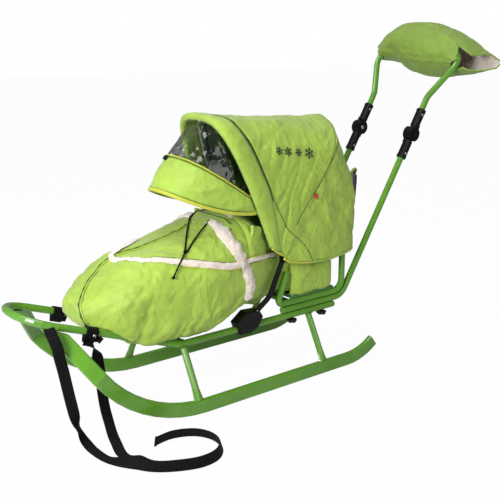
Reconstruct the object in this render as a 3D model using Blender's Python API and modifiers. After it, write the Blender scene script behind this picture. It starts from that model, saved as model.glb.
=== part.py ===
"""Sled stroller: a steel tube sled with a folding pusher handle, footmuff, hood with visor, and hand muff.

Layout frame: x to the sled's left, y to its back with y = 0 at the rear ends of the seat rails, z up, runners at z = 0.
Everything hangs under one empty that moves the layout so that its box is centred on the origin.
"""
import math

import bmesh
import bpy
from mathutils import Matrix, Vector

# Driving dimensions, metres
CENTRE_SHIFT_Y = 0.1924
GAP = 0.0003
TUBE_R = 0.010
TUBE_SIDES = 4
RAIL_X, RAIL_Z = 0.116, 0.1805
RAIL_SLOPE = 0.36
RAIL_BEND_Y = -0.566
NOSE_X, NOSE_Y, NOSE_RADIUS = 0.096, -0.988, 0.086
STACK_PITCH = 2 * TUBE_R + 0.0005
PUSHER_Z = RAIL_Z + STACK_PITCH
BACK_Z = RAIL_Z + 2 * STACK_PITCH

RUNNER_X = 0.19
RUNNER_HEIGHT, RUNNER_WIDTH, RUNNER_CORNER = 0.040, 0.016, 0.0045
RUNNER_REAR_RADIUS, RUNNER_REAR_ANGLE = 0.181, math.radians(37)
RUNNER_FRONT_Y, RUNNER_FRONT_RADIUS, RUNNER_FRONT_ANGLE = -0.53, 0.39, math.radians(54)
RUNNER_TOP = Vector((0.100, -0.918, 0.2965))
LEG_Y = (-0.554, -0.100)
BOARD_FRONT_Y, BOARD_REAR_Y, BOARD_THICK = -0.172, -0.003, 0.010

HUB = Vector((RAIL_X, 0.327, 0.684))
HUB_RADIUS, HUB_HALF = 0.0235, 0.0145
PUSHER_DIR = Vector((0.0, 0.515, 0.857)).normalized()
SOCKET_REACH = 0.0855
SOCKET_WIDTH, SOCKET_DEPTH = 0.0250, 0.0240
BUTTON_R, BUTTON_TRAVEL = 0.0085, 0.003
HANDLE_BEND = Vector((RAIL_X, 0.393, 0.796))
HANDLE_CORNER = Vector((0.195, 0.487, 0.940))

KNOB_Y = (-0.165, -0.045)
KNOB_R, KNOB_LOBE, KNOB_HEIGHT = 0.0145, 0.0020, 0.0130

HOOD_PIVOT = Vector((0.0, -0.210, 0.370))
HOOD_WIDTH = 0.150
HOOD_CLOTH = 0.005
VISOR_PIVOT = Vector((0.0, -0.325, 0.535))
VISOR_WIDTH = 0.1255
MUFF_WALL = 0.012
STRAP_WIDTH, STRAP_THICK = 0.028, 0.0016
CORD_R = 0.0022

PARTS = bpy.data.collections.new("sled_stroller")
CUTTERS = bpy.data.collections.new("cutters")


# Scene helpers
def clear_scene():
    for item in list(bpy.data.objects):
        bpy.data.objects.remove(item)
    bpy.context.scene.collection.children.link(PARTS)
    bpy.context.scene.collection.children.link(CUTTERS)


def make_material(name, colour, roughness, metallic=0.0, alpha=1.0):
    mat = bpy.data.materials.new(name)
    mat.use_nodes = True
    shader = mat.node_tree.nodes["Principled BSDF"]
    shader.inputs["Base Color"].default_value = (*colour, 1.0)
    shader.inputs["Roughness"].default_value = roughness
    shader.inputs["Metallic"].default_value = metallic
    shader.inputs["Alpha"].default_value = alpha
    return mat


def make_empty(name, location, parent=None):
    empty = bpy.data.objects.new(name, None)
    empty.empty_display_size = 0.05
    PARTS.objects.link(empty)
    empty.parent = parent
    empty.location = Vector(location)
    return empty


def layout_place(obj):
    """Location of an object in the layout frame: its own plus its parents', short of the root."""
    total = Vector(obj.location)
    while obj.parent is not None and obj.parent.parent is not None:
        obj = obj.parent
        total += obj.location
    return total


def attach(obj, mat, axis):
    """Hang a finished part under its axis empty, keeping its place in the layout frame."""
    obj.data.materials.append(mat)
    PARTS.objects.link(obj)
    hang(obj, axis)
    for modifier in obj.modifiers:
        if modifier.type == "BOOLEAN":
            hang(modifier.object, axis)
    return obj


def hang(obj, axis):
    obj.parent = axis
    if axis.parent is not None:
        obj.location = obj.location - layout_place(axis)


def as_cutter(obj):
    CUTTERS.objects.link(obj)
    obj.hide_render = True
    obj.display_type = "WIRE"
    return obj


def new_object(name, bm, smooth=True):
    bmesh.ops.recalc_face_normals(bm, faces=bm.faces)
    mesh = bpy.data.meshes.new(name)
    bm.to_mesh(mesh)
    bm.free()
    if smooth:
        mesh.shade_smooth()
        mesh.set_sharp_from_angle(angle=math.radians(40))
    return bpy.data.objects.new(name, mesh)


def add_boolean(obj, other, operation):
    modifier = obj.modifiers.new(operation.lower(), "BOOLEAN")
    modifier.operation = operation
    modifier.object = other
    modifier.solver = "EXACT"


def joined(name, pieces, cuts=()):
    """One solid made of several overlapping closed pieces, less the cuts; the pieces are used up."""
    body = pieces[0]
    body.name = name
    for piece in pieces[1:]:
        add_boolean(body, as_cutter(piece), "UNION")
    for cut in cuts:
        add_boolean(body, as_cutter(cut), "DIFFERENCE")
    return body


# Shape helpers
def mirror_x(point):
    return Vector((-point[0], point[1], point[2]))


def side_point(point, side):
    return Vector((side * point[0], point[1], point[2]))


def rounded_path(corners, radii, steps=6):
    """Points along straight runs whose corners are rounded by arcs of the given radii."""
    points = [Vector(corners[0])]
    for index in range(1, len(corners) - 1):
        before, corner, after = (Vector(corners[index + k]) for k in (-1, 0, 1))
        into, out = (corner - before).normalized(), (after - corner).normalized()
        turn = into.angle(out)
        radius = radii[index - 1]
        reach = radius * math.tan(turn / 2)
        start = corner - into * reach
        centre_way = (out - into).normalized()
        centre = corner + centre_way * (radius / math.cos(turn / 2))
        axis = into.cross(out).normalized()
        for step in range(steps + 1):
            spin = Matrix.Rotation(turn * step / steps, 3, axis)
            points.append(centre + spin @ (start - centre))
    points.append(Vector(corners[-1]))
    return points


def tube(name, points, radius, resolution=TUBE_SIDES):
    """A round bar along points, as a curve with a bevel depth and filled caps."""
    curve = bpy.data.curves.new(name, "CURVE")
    curve.dimensions = "3D"
    curve.bevel_depth = radius
    curve.bevel_resolution = resolution
    curve.use_fill_caps = True
    spline = curve.splines.new("POLY")
    spline.points.add(len(points) - 1)
    for point, place in zip(spline.points, points):
        point.co = (*place, 1.0)
    return bpy.data.objects.new(name, curve)


def cylinder(name, start, end, radius, sides=20, end_radius=None, smooth=True):
    start, end = Vector(start), Vector(end)
    bm = bmesh.new()
    bmesh.ops.create_cone(
        bm, cap_ends=True, segments=sides, radius1=radius,
        radius2=radius if end_radius is None else end_radius, depth=(end - start).length)
    obj = new_object(name, bm, smooth)
    obj.location = (start + end) / 2
    obj.rotation_euler = (end - start).to_track_quat("Z", "Y").to_euler()
    return obj


def box(name, centre, size, rotation=None, bevel=0.0):
    bm = bmesh.new()
    bmesh.ops.create_cube(bm, size=1.0)
    bmesh.ops.scale(bm, vec=size, verts=bm.verts)
    if bevel:
        bmesh.ops.bevel(bm, geom=bm.edges, offset=bevel, segments=2, profile=0.5, affect="EDGES")
    obj = new_object(name, bm, smooth=bool(bevel))
    obj.location = Vector(centre)
    if rotation is not None:
        obj.rotation_euler = rotation
    return obj


def loft(name, rings, closed=True, caps=True, smooth=True):
    """A skin through rings of equal point counts; closed rings with caps make a solid."""
    bm = bmesh.new()
    rows = [[bm.verts.new(point) for point in ring] for ring in rings]
    count = len(rings[0])
    last = count if closed else count - 1
    for row, following in zip(rows, rows[1:]):
        for k in range(last):
            nxt = (k + 1) % count
            bm.faces.new((row[k], row[nxt], following[nxt], following[k]))
    if closed and caps:
        bm.faces.new(rows[0][::-1])
        bm.faces.new(rows[-1])
    return new_object(name, bm, smooth)


def solidify(obj, thickness):
    """Give an open skin a thickness on its hollow side, whichever way its faces point."""
    mesh = obj.data
    centre = sum((v.co for v in mesh.vertices), Vector()) / len(mesh.vertices)
    outward = sum((f.center - centre).dot(f.normal) * f.area for f in mesh.polygons)
    modifier = obj.modifiers.new("thickness", "SOLIDIFY")
    modifier.thickness = thickness
    modifier.offset = -1.0 if outward > 0 else 1.0
    modifier.use_rim = True
    modifier.use_even_offset = True
    modifier.use_quality_normals = True
    return obj


def rounded_rectangle(width, height, corner, steps=2):
    """Outline points (a, b) of a rectangle with rounded corners, centred on zero."""
    points = []
    for quarter in range(4):
        angle0 = quarter * math.pi / 2
        cx = (width / 2 - corner) * (1 if quarter in (0, 3) else -1)
        cy = (height / 2 - corner) * (1 if quarter in (0, 1) else -1)
        for step in range(steps + 1):
            angle = angle0 + math.pi / 2 * step / steps
            points.append((cx + corner * math.cos(angle), cy + corner * math.sin(angle)))
    return points


def ellipse_power(angle, power):
    """Cosine and sine of an angle, squared off by a power below one."""
    c, s = math.cos(angle), math.sin(angle)
    return math.copysign(abs(c) ** power, c), math.copysign(abs(s) ** power, s)


def interpolate(table, place):
    """Smooth values between the rows (place, a, b, ...) of a table."""
    rows = sorted(table)
    if place <= rows[0][0]:
        return rows[0][1:]
    if place >= rows[-1][0]:
        return rows[-1][1:]
    for low, high in zip(rows, rows[1:]):
        if low[0] <= place <= high[0]:
            share = (place - low[0]) / (high[0] - low[0])
            return tuple(a + (b - a) * share for a, b in zip(low[1:], high[1:]))
    return rows[-1][1:]


def smooth_route(points, spacing):
    """A Catmull-Rom curve through hand-placed points, resampled at an even spacing."""
    pts = [Vector(p) for p in points]
    ends = [pts[0] * 2 - pts[1]] + pts + [pts[-1] * 2 - pts[-2]]
    fine = []
    for k in range(1, len(ends) - 2):
        a, b, c, d = ends[k - 1], ends[k], ends[k + 1], ends[k + 2]
        for step in range(16):
            t = step / 16
            fine.append(0.5 * (2 * b + (c - a) * t + (2 * a - 5 * b + 4 * c - d) * t * t
                               + (3 * b - a - 3 * c + d) * t ** 3))
    fine.append(pts[-1])
    total = sum((q - p).length for p, q in zip(fine, fine[1:]))
    count = max(2, round(total / spacing))
    result, walked, target = [fine[0]], 0.0, total / count
    for p, q in zip(fine, fine[1:]):
        length = (q - p).length
        while walked + length >= target and len(result) < count:
            result.append(p.lerp(q, (target - walked) / length))
            target += total / count
        walked += length
    result.append(fine[-1])
    return result


# Frame of the sled
def rail_height(y):
    return RAIL_Z + max(0.0, RAIL_SLOPE * (RAIL_BEND_Y - y))


RAIL_LINE = (
    (RAIL_X, 0.0, RAIL_Z),
    (RAIL_X, RAIL_BEND_Y, RAIL_Z),
    (NOSE_X, -0.80, rail_height(-0.80)),
    (NOSE_X, NOSE_Y, rail_height(NOSE_Y)),
)


def seat_rail_tube():
    """One tube: both seat rails and the raised loop that joins them in front."""
    corners = RAIL_LINE + tuple(mirror_x(p) for p in reversed(RAIL_LINE))
    radii = [0.10, 0.30, NOSE_RADIUS, NOSE_RADIUS, 0.30, 0.10]
    return tube("seat_rail_tube", rounded_path(corners, radii, 7), TUBE_R)


def flat_ring(centre, wide, thin, scale=1.0):
    outline = rounded_rectangle(RUNNER_WIDTH * scale, RUNNER_HEIGHT * scale, RUNNER_CORNER * scale)
    return [centre + thin * a + wide * b for a, b in outline]


def slide_to_plane(ring, way, point, normal):
    """Move each point along way until it lies in the plane through point."""
    return [p + way * ((point - p).dot(normal) / way.dot(normal)) for p in ring]


def runner(side):
    """A flat-sided bar: curled tail, straight sole, curved nose, then a mitred stay that leans in to the rail."""
    thin = Vector((1, 0, 0))
    rings = []
    for k in range(7):
        angle = RUNNER_REAR_ANGLE * (1 - k / 6)
        y = RUNNER_REAR_RADIUS * math.sin(angle)
        z = RUNNER_HEIGHT / 2 + RUNNER_REAR_RADIUS * (1 - math.cos(angle))
        rings.append(flat_ring(Vector((RUNNER_X, y, z)), Vector((0, -math.sin(angle), math.cos(angle))), thin))
    centre = Vector((RUNNER_X, RUNNER_FRONT_Y, RUNNER_HEIGHT / 2))
    for k in range(10):
        angle = RUNNER_FRONT_ANGLE * k / 9
        offset = Vector((0, -math.sin(angle), 1 - math.cos(angle))) * RUNNER_FRONT_RADIUS
        wide = Vector((0, math.sin(angle), math.cos(angle)))
        rings.append(flat_ring(centre + offset, wide, thin))
    kink = centre + offset
    low_way = Vector((0, -math.cos(RUNNER_FRONT_ANGLE), math.sin(RUNNER_FRONT_ANGLE)))
    stay_way = (RUNNER_TOP - kink).normalized()
    rings[-1] = slide_to_plane(rings[-1], low_way, kink, low_way + stay_way)
    under_rail = Vector((0, RAIL_SLOPE, 1)).normalized()
    wide = (wide - stay_way * wide.dot(stay_way)).normalized()
    stay = flat_ring(RUNNER_TOP, wide, wide.cross(stay_way))
    rings.append(slide_to_plane(stay, stay_way, RUNNER_TOP, under_rail))
    return loft("runner_" + side_name(side), [[side_point(p, side) for p in ring] for ring in rings])


def side_name(side):
    return "left" if side > 0 else "right"


LEG_STEPS = ((0.0, 0.0100, 0.0100), (0.78, 0.0100, 0.0100), (0.93, 0.0072, 0.0135), (1.0, 0.0066, 0.0145))


def leg(side, y, name):
    """A splayed leg whose foot is pressed flat onto the runner."""
    top = Vector((RAIL_X, y, RAIL_Z - TUBE_R - GAP))
    foot = Vector((RUNNER_X, y - 0.002, RUNNER_HEIGHT + GAP))
    reach = max(0.0, RUNNER_FRONT_Y - foot.y + 0.0145)
    foot.z += reach ** 2 / (2 * RUNNER_FRONT_RADIUS)
    rings = []
    for share, half_x, half_y in LEG_STEPS:
        centre = top.lerp(foot, share)
        rings.append([side_point(centre + Vector((half_x * math.cos(a), half_y * math.sin(a), 0)), side)
                      for a in (math.tau * k / 12 for k in range(12))])
    return loft(name, rings)


def cross_tube(y, name):
    """A round bar welded between the rails over a pair of legs."""
    reach = RAIL_X - TUBE_R - GAP
    return tube(name, [(-reach, y, RAIL_Z), (reach, y, RAIL_Z)], TUBE_R - 0.0005)


def seat_board():
    centre = (0, (BOARD_FRONT_Y + BOARD_REAR_Y) / 2, BACK_Z + TUBE_R + GAP + BOARD_THICK / 2)
    size = (2 * RAIL_X + 0.014, BOARD_REAR_Y - BOARD_FRONT_Y, BOARD_THICK)
    return box("seat_board", centre, size, bevel=0.0015)


def backrest_tube():
    """One bent tube: both arm uprights, both base bars, both back uprights and the top bar."""
    half = [
        (RAIL_X, -0.188, 0.318),
        (RAIL_X, -0.223, BACK_Z),
        (RAIL_X, 0.0365, BACK_Z),
        (RAIL_X, 0.0365, 0.556),
    ]
    corners = half + [mirror_x(p) for p in reversed(half)]
    radii = [0.014, 0.034, 0.060, 0.060, 0.034, 0.014]
    return tube("backrest_tube", rounded_path(corners, radii, 5), TUBE_R)


def pusher_tube(side):
    corners = [
        (RAIL_X, -0.205, PUSHER_Z),
        (RAIL_X, HUB.y - (HUB.z - PUSHER_Z) * PUSHER_DIR.y / PUSHER_DIR.z, PUSHER_Z),
        HUB - PUSHER_DIR * (SOCKET_REACH + GAP),
    ]
    path = [side_point(p, side) for p in rounded_path(corners, [0.050], 6)]
    return tube("pusher_tube_" + side_name(side), path, TUBE_R)


def rail_end_plug(side):
    """A domed plastic plug in the cut end of the seat rail."""
    start = Vector((side * RAIL_X, GAP, RAIL_Z))
    return cylinder("rail_end_plug_" + side_name(side), start, start + Vector((0, 0.0035, 0)), TUBE_R, 12, 0.0082)


def star_knob(name, x, y):
    """A five-lobed clamping knob with a short neck, hanging under the rail."""
    top = RAIL_Z - TUBE_R - GAP
    rings = []
    for drop, size in ((0.0, 0.42), (0.003, 0.42), (0.0035, 0.90), (0.0055, 1.0),
                       (KNOB_HEIGHT - 0.002, 1.0), (KNOB_HEIGHT, 0.86)):
        ring = []
        for k in range(20):
            angle = math.tau * k / 20
            lobe = KNOB_LOBE * math.cos(5 * angle) if size > 0.5 else 0.0
            radius = (KNOB_R + lobe) * size
            ring.append(Vector((x + radius * math.cos(angle), y + radius * math.sin(angle), top - drop)))
        rings.append(ring)
    return loft(name, rings)


# Pusher fold joints
def hub_frame(side):
    """Centre of a fold joint and its outward direction."""
    return side_point(HUB, side), Vector((side, 0, 0))


def fold_disc(name, side, inner):
    centre, out = hub_frame(side)
    near, far = (-HUB_HALF, -GAP / 2) if inner else (GAP / 2, HUB_HALF)
    return cylinder(name, centre + out * near, centre + out * far, HUB_RADIUS, 28)


def socket(side, upper):
    """Half of a fold joint: a round disc, its neck, and the square socket that grips the tube."""
    name = ("upper" if upper else "lower") + "_socket_" + side_name(side)
    centre, out = hub_frame(side)
    way = PUSHER_DIR if upper else -PUSHER_DIR
    across = Vector((1, 0, 0)).cross(PUSHER_DIR)
    disc = fold_disc(name, side, inner=not upper)
    rings = []
    for along, grow in ((0.0245, -0.0012), (0.0270, 0.0), (SOCKET_REACH - 0.012, 0.0),
                        (SOCKET_REACH - 0.010, 0.0012), (SOCKET_REACH, 0.0012)):
        outline = rounded_rectangle(SOCKET_WIDTH + grow, SOCKET_DEPTH + grow, 0.007)
        rings.append([centre + way * along + Vector((1, 0, 0)) * a + across * b for a, b in outline])
    grip = loft(name + "_grip", rings)
    thick = HUB_HALF - GAP - 0.0015
    middle = centre + out * (thick / 2 + GAP + 0.0008) * (1 if upper else -1) + way * 0.022
    neck = box(name + "_neck", middle, (0.019, thick, 0.022), neck_rotation(way))
    cuts = []
    if upper:
        hole_floor = centre + out * (HUB_HALF - 0.0075)
        cuts.append(cylinder(name + "_hole", hole_floor, hole_floor + out * 0.02, BUTTON_R + 0.0004, 16))
        for k in range(10):
            angle = math.tau * k / 10
            spoke = Matrix.Rotation(angle, 3, "X") @ Vector((0, 0, 1))
            place = centre + out * HUB_HALF + spoke * 0.0158
            cuts.append(box(name + f"_groove_{k}", place, (0.0016, 0.0018, 0.0086), (angle, 0, 0)))
    return joined(name, [disc, grip, neck], cuts)


def neck_rotation(way):
    """Local z along the tube, local y across the joint."""
    z_axis = Vector(way).normalized()
    y_axis = Vector((1, 0, 0))
    x_axis = y_axis.cross(z_axis)
    return Matrix((x_axis, y_axis, z_axis)).transposed().to_euler()


def lock_button(side):
    centre, out = hub_frame(side)
    base = centre + out * (HUB_HALF - 0.0075 + BUTTON_TRAVEL + 0.0005)
    return cylinder("lock_button_" + side_name(side), base, centre + out * (HUB_HALF + 0.0028), BUTTON_R, 16)


def handle_tube():
    start = HUB + PUSHER_DIR * (SOCKET_REACH + GAP)
    half = [start, HANDLE_BEND, HANDLE_CORNER]
    corners = half + [mirror_x(p) for p in reversed(half)]
    return tube("handle_tube", rounded_path(corners, [0.060, 0.045, 0.045, 0.060], 6), TUBE_R)


# Hand muff
MUFF_ROWS = (
    # x at the back, centre y, centre z, half depth, half height
    (-0.262, 0.508, 0.924, 0.046, 0.020),
    (-0.235, 0.514, 0.934, 0.058, 0.036),
    (-0.190, 0.521, 0.949, 0.067, 0.050),
    (-0.120, 0.528, 0.958, 0.072, 0.066),
    (-0.060, 0.532, 0.948, 0.076, 0.084),
    (0.000, 0.534, 0.940, 0.078, 0.090),
    (0.060, 0.534, 0.933, 0.078, 0.083),
    (0.120, 0.531, 0.926, 0.076, 0.071),
    (0.170, 0.525, 0.919, 0.073, 0.058),
    (0.215, 0.516, 0.911, 0.068, 0.045),
    (0.262, 0.507, 0.903, 0.058, 0.030),
)
MUFF_SLANT = 0.085


def muff_ring(x_back, points=18):
    """A loop round the sleeve; towards the ends its front lies nearer the middle than its back."""
    yc, zc, half_y, half_z = interpolate(MUFF_ROWS, x_back)
    slant = math.copysign(MUFF_SLANT, x_back) * max(0.0, abs(x_back) - 0.08) / 0.18
    ring = []
    for k in range(points):
        angle = math.tau * k / points
        front = (1 - math.cos(angle)) / 2
        ring.append(Vector((x_back - slant * front, yc + half_y * math.cos(angle), zc + half_z * math.sin(angle))))
    return ring


def muff_notch(side):
    """The slot at the mouth of the sleeve that lets the handle's leg in."""
    leg = (HANDLE_CORNER - HANDLE_BEND).normalized()
    outward = (Vector((1, 0, 0)) - leg * leg.x).normalized()
    across = leg.cross(outward)
    reach = TUBE_R + 0.0040
    rings = []
    for back, inner in ((0.006, 0.056), (0.042, 0.028), (0.072, 0.0165), (0.125, 0.0140)):
        centre = HANDLE_CORNER - leg * back
        outline = [(-inner * math.sin(math.pi * k / 6), reach * math.cos(math.pi * k / 6)) for k in range(7)]
        outline += [(0.05, -reach), (0.05, reach)]
        rings.append([side_point(centre + outward * a + across * b, side) for a, b in outline])
    return loft("muff_notch_" + side_name(side), rings)


def hand_muff():
    """A padded sleeve round the grip bar, with slanted open ends where the hands and the handle's legs enter."""
    count = 16
    places = [MUFF_ROWS[0][0] + (MUFF_ROWS[-1][0] - MUFF_ROWS[0][0]) * k / (count - 1) for k in range(count)]
    sleeve = solidify(loft("hand_muff", [muff_ring(x) for x in places], caps=False), 0.005)
    return joined("hand_muff", [sleeve], [muff_notch(1), muff_notch(-1)])


# Hood
def arch(base, top, half_width, square=4.0, points=15):
    """One bow of the hood: up the left side, over the roof and down the right side."""
    ring = []
    for k in range(points):
        angle = math.pi * k / (points - 1)
        c, s = math.cos(angle), math.sin(angle)
        x = math.copysign(abs(c) ** (2 / square), c) * half_width
        rise = s ** (2 / square)
        ring.append(Vector((x, base[0] + (top[0] - base[0]) * rise, base[1] + (top[1] - base[1]) * rise)))
    return ring


HOOD_FRONT = ((-0.270, 0.412), (-0.425, 0.785))
HOOD_SEAM = ((-0.232, 0.392), (-0.236, 0.430), (-0.243, 0.470), (-0.262, 0.543), (-0.285, 0.594),
             (-0.311, 0.666), (-0.345, 0.740), (-0.362, 0.7795))
HOOD_REAR_BOW = ((-0.224, 0.373), (0.034, 0.7560))
STRIP_WIDTH, STRIP_THICK = 0.010, 0.0024


def seam_arch():
    """The seam behind the rim, an arch whose sides are curved when seen from the side."""
    ring = arch((0, HOOD_SEAM[0][1]), (0, HOOD_SEAM[-1][1]), HOOD_WIDTH, 3.5)
    by_height = [(z, y) for y, z in HOOD_SEAM]
    return [Vector((p.x, interpolate(by_height, p.z)[0], p.z)) for p in ring]


def shoulder_arch(base, top, half_width, shoulder=0.60):
    """An arch with upright sides up to the shoulder's share of its height, then a rounded, crowned roof."""
    half = [(1.0, 0.0), (1.0, shoulder * 0.62), (1.0, shoulder)]
    for k in range(1, 6):
        angle = math.pi / 2 * k / 5
        half.append((abs(math.cos(angle)) ** 1.33, shoulder + (1 - shoulder) * math.sin(angle) ** 0.73))
    shares = half[:-1] + [(0.0, 1.0)] + [(-x, rise) for x, rise in reversed(half[:-1])]
    return [Vector((x * half_width, base[0] + (top[0] - base[0]) * rise, base[1] + (top[1] - base[1]) * rise))
            for x, rise in shares]


def rear_bow_arch():
    return shoulder_arch(*HOOD_REAR_BOW, HOOD_WIDTH)


def mixed(first, second, share, sag=0.0):
    """The ring part of the way between two, sagging most at the roof."""
    top = max(p.z for p in first)
    return [a.lerp(b, share) - Vector((0, 0, sag * max(0.0, a.z / top) ** 4)) for a, b in zip(first, second)]


RIM_SECTION = (
    # share of the way from the mouth to the seam, depth inwards
    (0.07, 0.0), (0.32, -0.003), (0.66, -0.0025), (1.0, 0.0), (1.0, 0.005),
    (0.66, 0.009), (0.32, 0.0145), (0.08, 0.016), (0.0, 0.012), (0.0, 0.004),
)


def hood_rim():
    """The padded roll round the mouth of the hood, thick in front and thin at its seam."""
    mouth, seam = arch(*HOOD_FRONT, HOOD_WIDTH, 3.3), seam_arch()
    rings = []
    for k, (front, back) in enumerate(zip(mouth, seam)):
        way = (mouth[min(k + 1, len(mouth) - 1)] - mouth[max(k - 1, 0)]).normalized()
        across = (back - front).normalized()
        inward = way.cross(across).normalized()
        rings.append([front.lerp(back, share) + inward * depth for share, depth in RIM_SECTION])
    return loft("hood_rim", rings)


def hood_canopy():
    rows = []
    for k in range(6):
        share = 0.02 + 0.966 * k / 5
        rows.append(mixed(seam_arch(), rear_bow_arch(), share, 0.004 * math.sin(math.pi * share)))
    return solidify(loft("hood_canopy", rows, closed=False), HOOD_CLOTH)


def rear_wall_y(z):
    return 0.081 + 0.004 * (z - 0.36) / 0.20


def hood_back():
    """The fixed rear of the hood: side gussets fanned from the pivot, the sloping shoulder and the back wall."""
    rows = [
        mixed(seam_arch(), rear_bow_arch(), 1.008),
        shoulder_arch((-0.196, 0.358), (0.0400, 0.7505), HOOD_WIDTH, 0.56),
        shoulder_arch((-0.115, 0.343), (0.0455, 0.732), HOOD_WIDTH, 0.50),
        shoulder_arch((-0.040, 0.340), (0.052, 0.697), 0.147, 0.50),
        shoulder_arch((0.050, 0.350), (0.064, 0.658), 0.138, 0.50),
        shoulder_arch((0.074, 0.356), (0.078, 0.622), 0.120, 0.55),
        shoulder_arch((rear_wall_y(0.36), 0.360), (rear_wall_y(0.585), 0.585), 0.085, 0.60),
        shoulder_arch((rear_wall_y(0.361), 0.361), (rear_wall_y(0.545), 0.545), 0.040, 0.60),
    ]
    bm = bmesh.new()
    grid = [[bm.verts.new(point) for point in row] for row in rows]
    for row, following in zip(grid, grid[1:]):
        for k in range(len(row) - 1):
            bm.faces.new((row[k], row[k + 1], following[k + 1], following[k]))
    last = grid[-1]
    for k in range(len(last) // 2):
        quad = [last[k], last[k + 1], last[-2 - k], last[-1 - k]]
        bm.faces.new(quad if quad[1] is not quad[2] else quad[:2] + quad[3:])
    return solidify(new_object("hood_back", bm), HOOD_CLOTH)


def rear_pocket():
    """A pouch on the back wall, open along its top edge."""
    rows = []
    for out, half_x, low, high in ((0.0010, 0.082, 0.392, 0.568), (0.024, 0.084, 0.396, 0.590),
                                   (0.045, 0.072, 0.415, 0.580), (0.053, 0.042, 0.445, 0.570),
                                   (0.054, 0.004, 0.480, 0.568)):
        row = []
        for k in range(13):
            angle = math.pi * (1 + k / 12)
            c, s = ellipse_power(angle, 0.6)
            z = high + (high - low) * s
            row.append(Vector((half_x * c, rear_wall_y(z) + out, z)))
        rows.append(row)
    return solidify(loft("rear_pocket", rows, closed=False), 0.003)


def bow(name, share, inset):
    """A flat hoop of spring strip inside the hood, from pivot to pivot."""
    ring = mixed(seam_arch(), rear_bow_arch(), share)
    cloth_ways = [b - a for a, b in zip(seam_arch(), rear_bow_arch())]
    rings = []
    for k, (point, cloth_way) in enumerate(zip(ring, cloth_ways)):
        way = (ring[min(k + 1, len(ring) - 1)] - ring[max(k - 1, 0)]).normalized()
        across = (way * cloth_way.dot(way) - cloth_way).normalized()
        out = way.cross(across)
        rings.append([point - out * inset + out * a * STRIP_THICK / 2 + across * b * STRIP_WIDTH / 2
                      for a, b in ((1, 1), (-1, 1), (-1, -1), (1, -1))])
    return loft(name, rings, smooth=False)


def canopy_clamp(side):
    """The plastic clip that grips the seat rail and carries the hood's stay."""
    outline = ((-0.386, 0.203), (-0.348, 0.232), (-0.300, 0.229), (-0.285, 0.206), (-0.303, 0.176),
               (-0.338, 0.162), (-0.372, 0.165))
    rings = []
    for x, grow in ((0.0985, 0.88), (0.102, 0.95), (0.131, 0.95), (0.1345, 0.88)):
        centre = Vector((0, -0.336, 0.198))
        rings.append([Vector((side * x, centre.y + (y - centre.y) * grow, centre.z + (z - centre.z) * grow))
                      for y, z in outline])
    body = loft("canopy_clamp_" + side_name(side), rings)
    bore = cylinder("clamp_bore_" + side_name(side), (side * RAIL_X, -0.45, RAIL_Z), (side * RAIL_X, -0.25, RAIL_Z),
                    TUBE_R + GAP, 12)
    slot_way = Vector((0, 0.053, 0.038)).normalized()
    slot = box("clamp_slot_" + side_name(side), Vector((side * STAY_X, -0.311, 0.2230)) + slot_way * 0.003,
               (0.0046, 0.0185, 0.030))
    side_way = Vector((1, 0, 0))
    slot.rotation_euler = Matrix((side_way, slot_way.cross(side_way), slot_way)).transposed().to_euler()
    return joined("canopy_clamp_" + side_name(side), [body], [bore, slot])


STAY_X = 0.127
STAY_WIDTH = 0.017


def canopy_stay(side):
    """A flat stay that curves up from the clamp to the hood pivot."""
    start = Vector((0, -0.311, 0.2230))
    way = Vector((0, 0.053, 0.038)).normalized()
    corners = [start - way * 0.004, start + way * 0.062, Vector((0, -0.208, 0.372))]
    path = rounded_path(corners, [0.050], 6)
    rings = []
    for k, point in enumerate(path):
        ahead, behind = path[min(k + 1, len(path) - 1)], path[max(k - 1, 0)]
        across = Vector((1, 0, 0)).cross((ahead - behind).normalized())
        rings.append([Vector((side * (STAY_X + a), point.y + across.y * b, point.z + across.z * b))
                      for a, b in ((0.002, STAY_WIDTH / 2), (-0.002, STAY_WIDTH / 2),
                                   (-0.002, -STAY_WIDTH / 2), (0.002, -STAY_WIDTH / 2))])
    return loft("canopy_stay_" + side_name(side), rings, smooth=False)


def hood_hub(side):
    """The round ratchet head at the top of the stay, which the hood's bows turn about."""
    start = Vector((side * (STAY_X + 0.002 + GAP), HOOD_PIVOT.y, HOOD_PIVOT.z))
    return cylinder("hood_hub_" + side_name(side), start, start + Vector((side * 0.0078, 0, 0)), 0.017, 18, 0.0145)


# Visor
def visor_edge(width, rear, front, lift=1.0, count=17):
    """A U-shaped edge in plan, from left corner to right corner round the peak; more lift makes it rise later."""
    points = []
    for k in range(count):
        angle = math.pi * k / (count - 1)
        c, s = ellipse_power(angle, 0.8)
        y, z = rear[0] + (front[0] - rear[0]) * s, rear[1] + (front[1] - rear[1]) * s ** lift
        points.append(Vector((width * c, y, z)))
    return points


VISOR_LOW = ((-0.305, 0.512), (-0.558, 0.588))
VISOR_HIGH = ((-0.328, 0.560), (-0.494, 0.676))
WINDOW_TOP = ((-0.262, 0.410), (-0.408, 0.763))


def visor_panel():
    low = visor_edge(VISOR_WIDTH, *VISOR_LOW, 1.8)
    high = visor_edge(VISOR_WIDTH, *VISOR_HIGH)
    rows = []
    for share in (0.0, 0.5, 1.0):
        bulge = 0.006 * math.sin(math.pi * share)
        rows.append([a.lerp(b, share) + Vector((a.x, -0.10, 0)).normalized() * bulge for a, b in zip(low, high)])
    return solidify(loft("visor_panel", rows, closed=False), 0.004)


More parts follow.
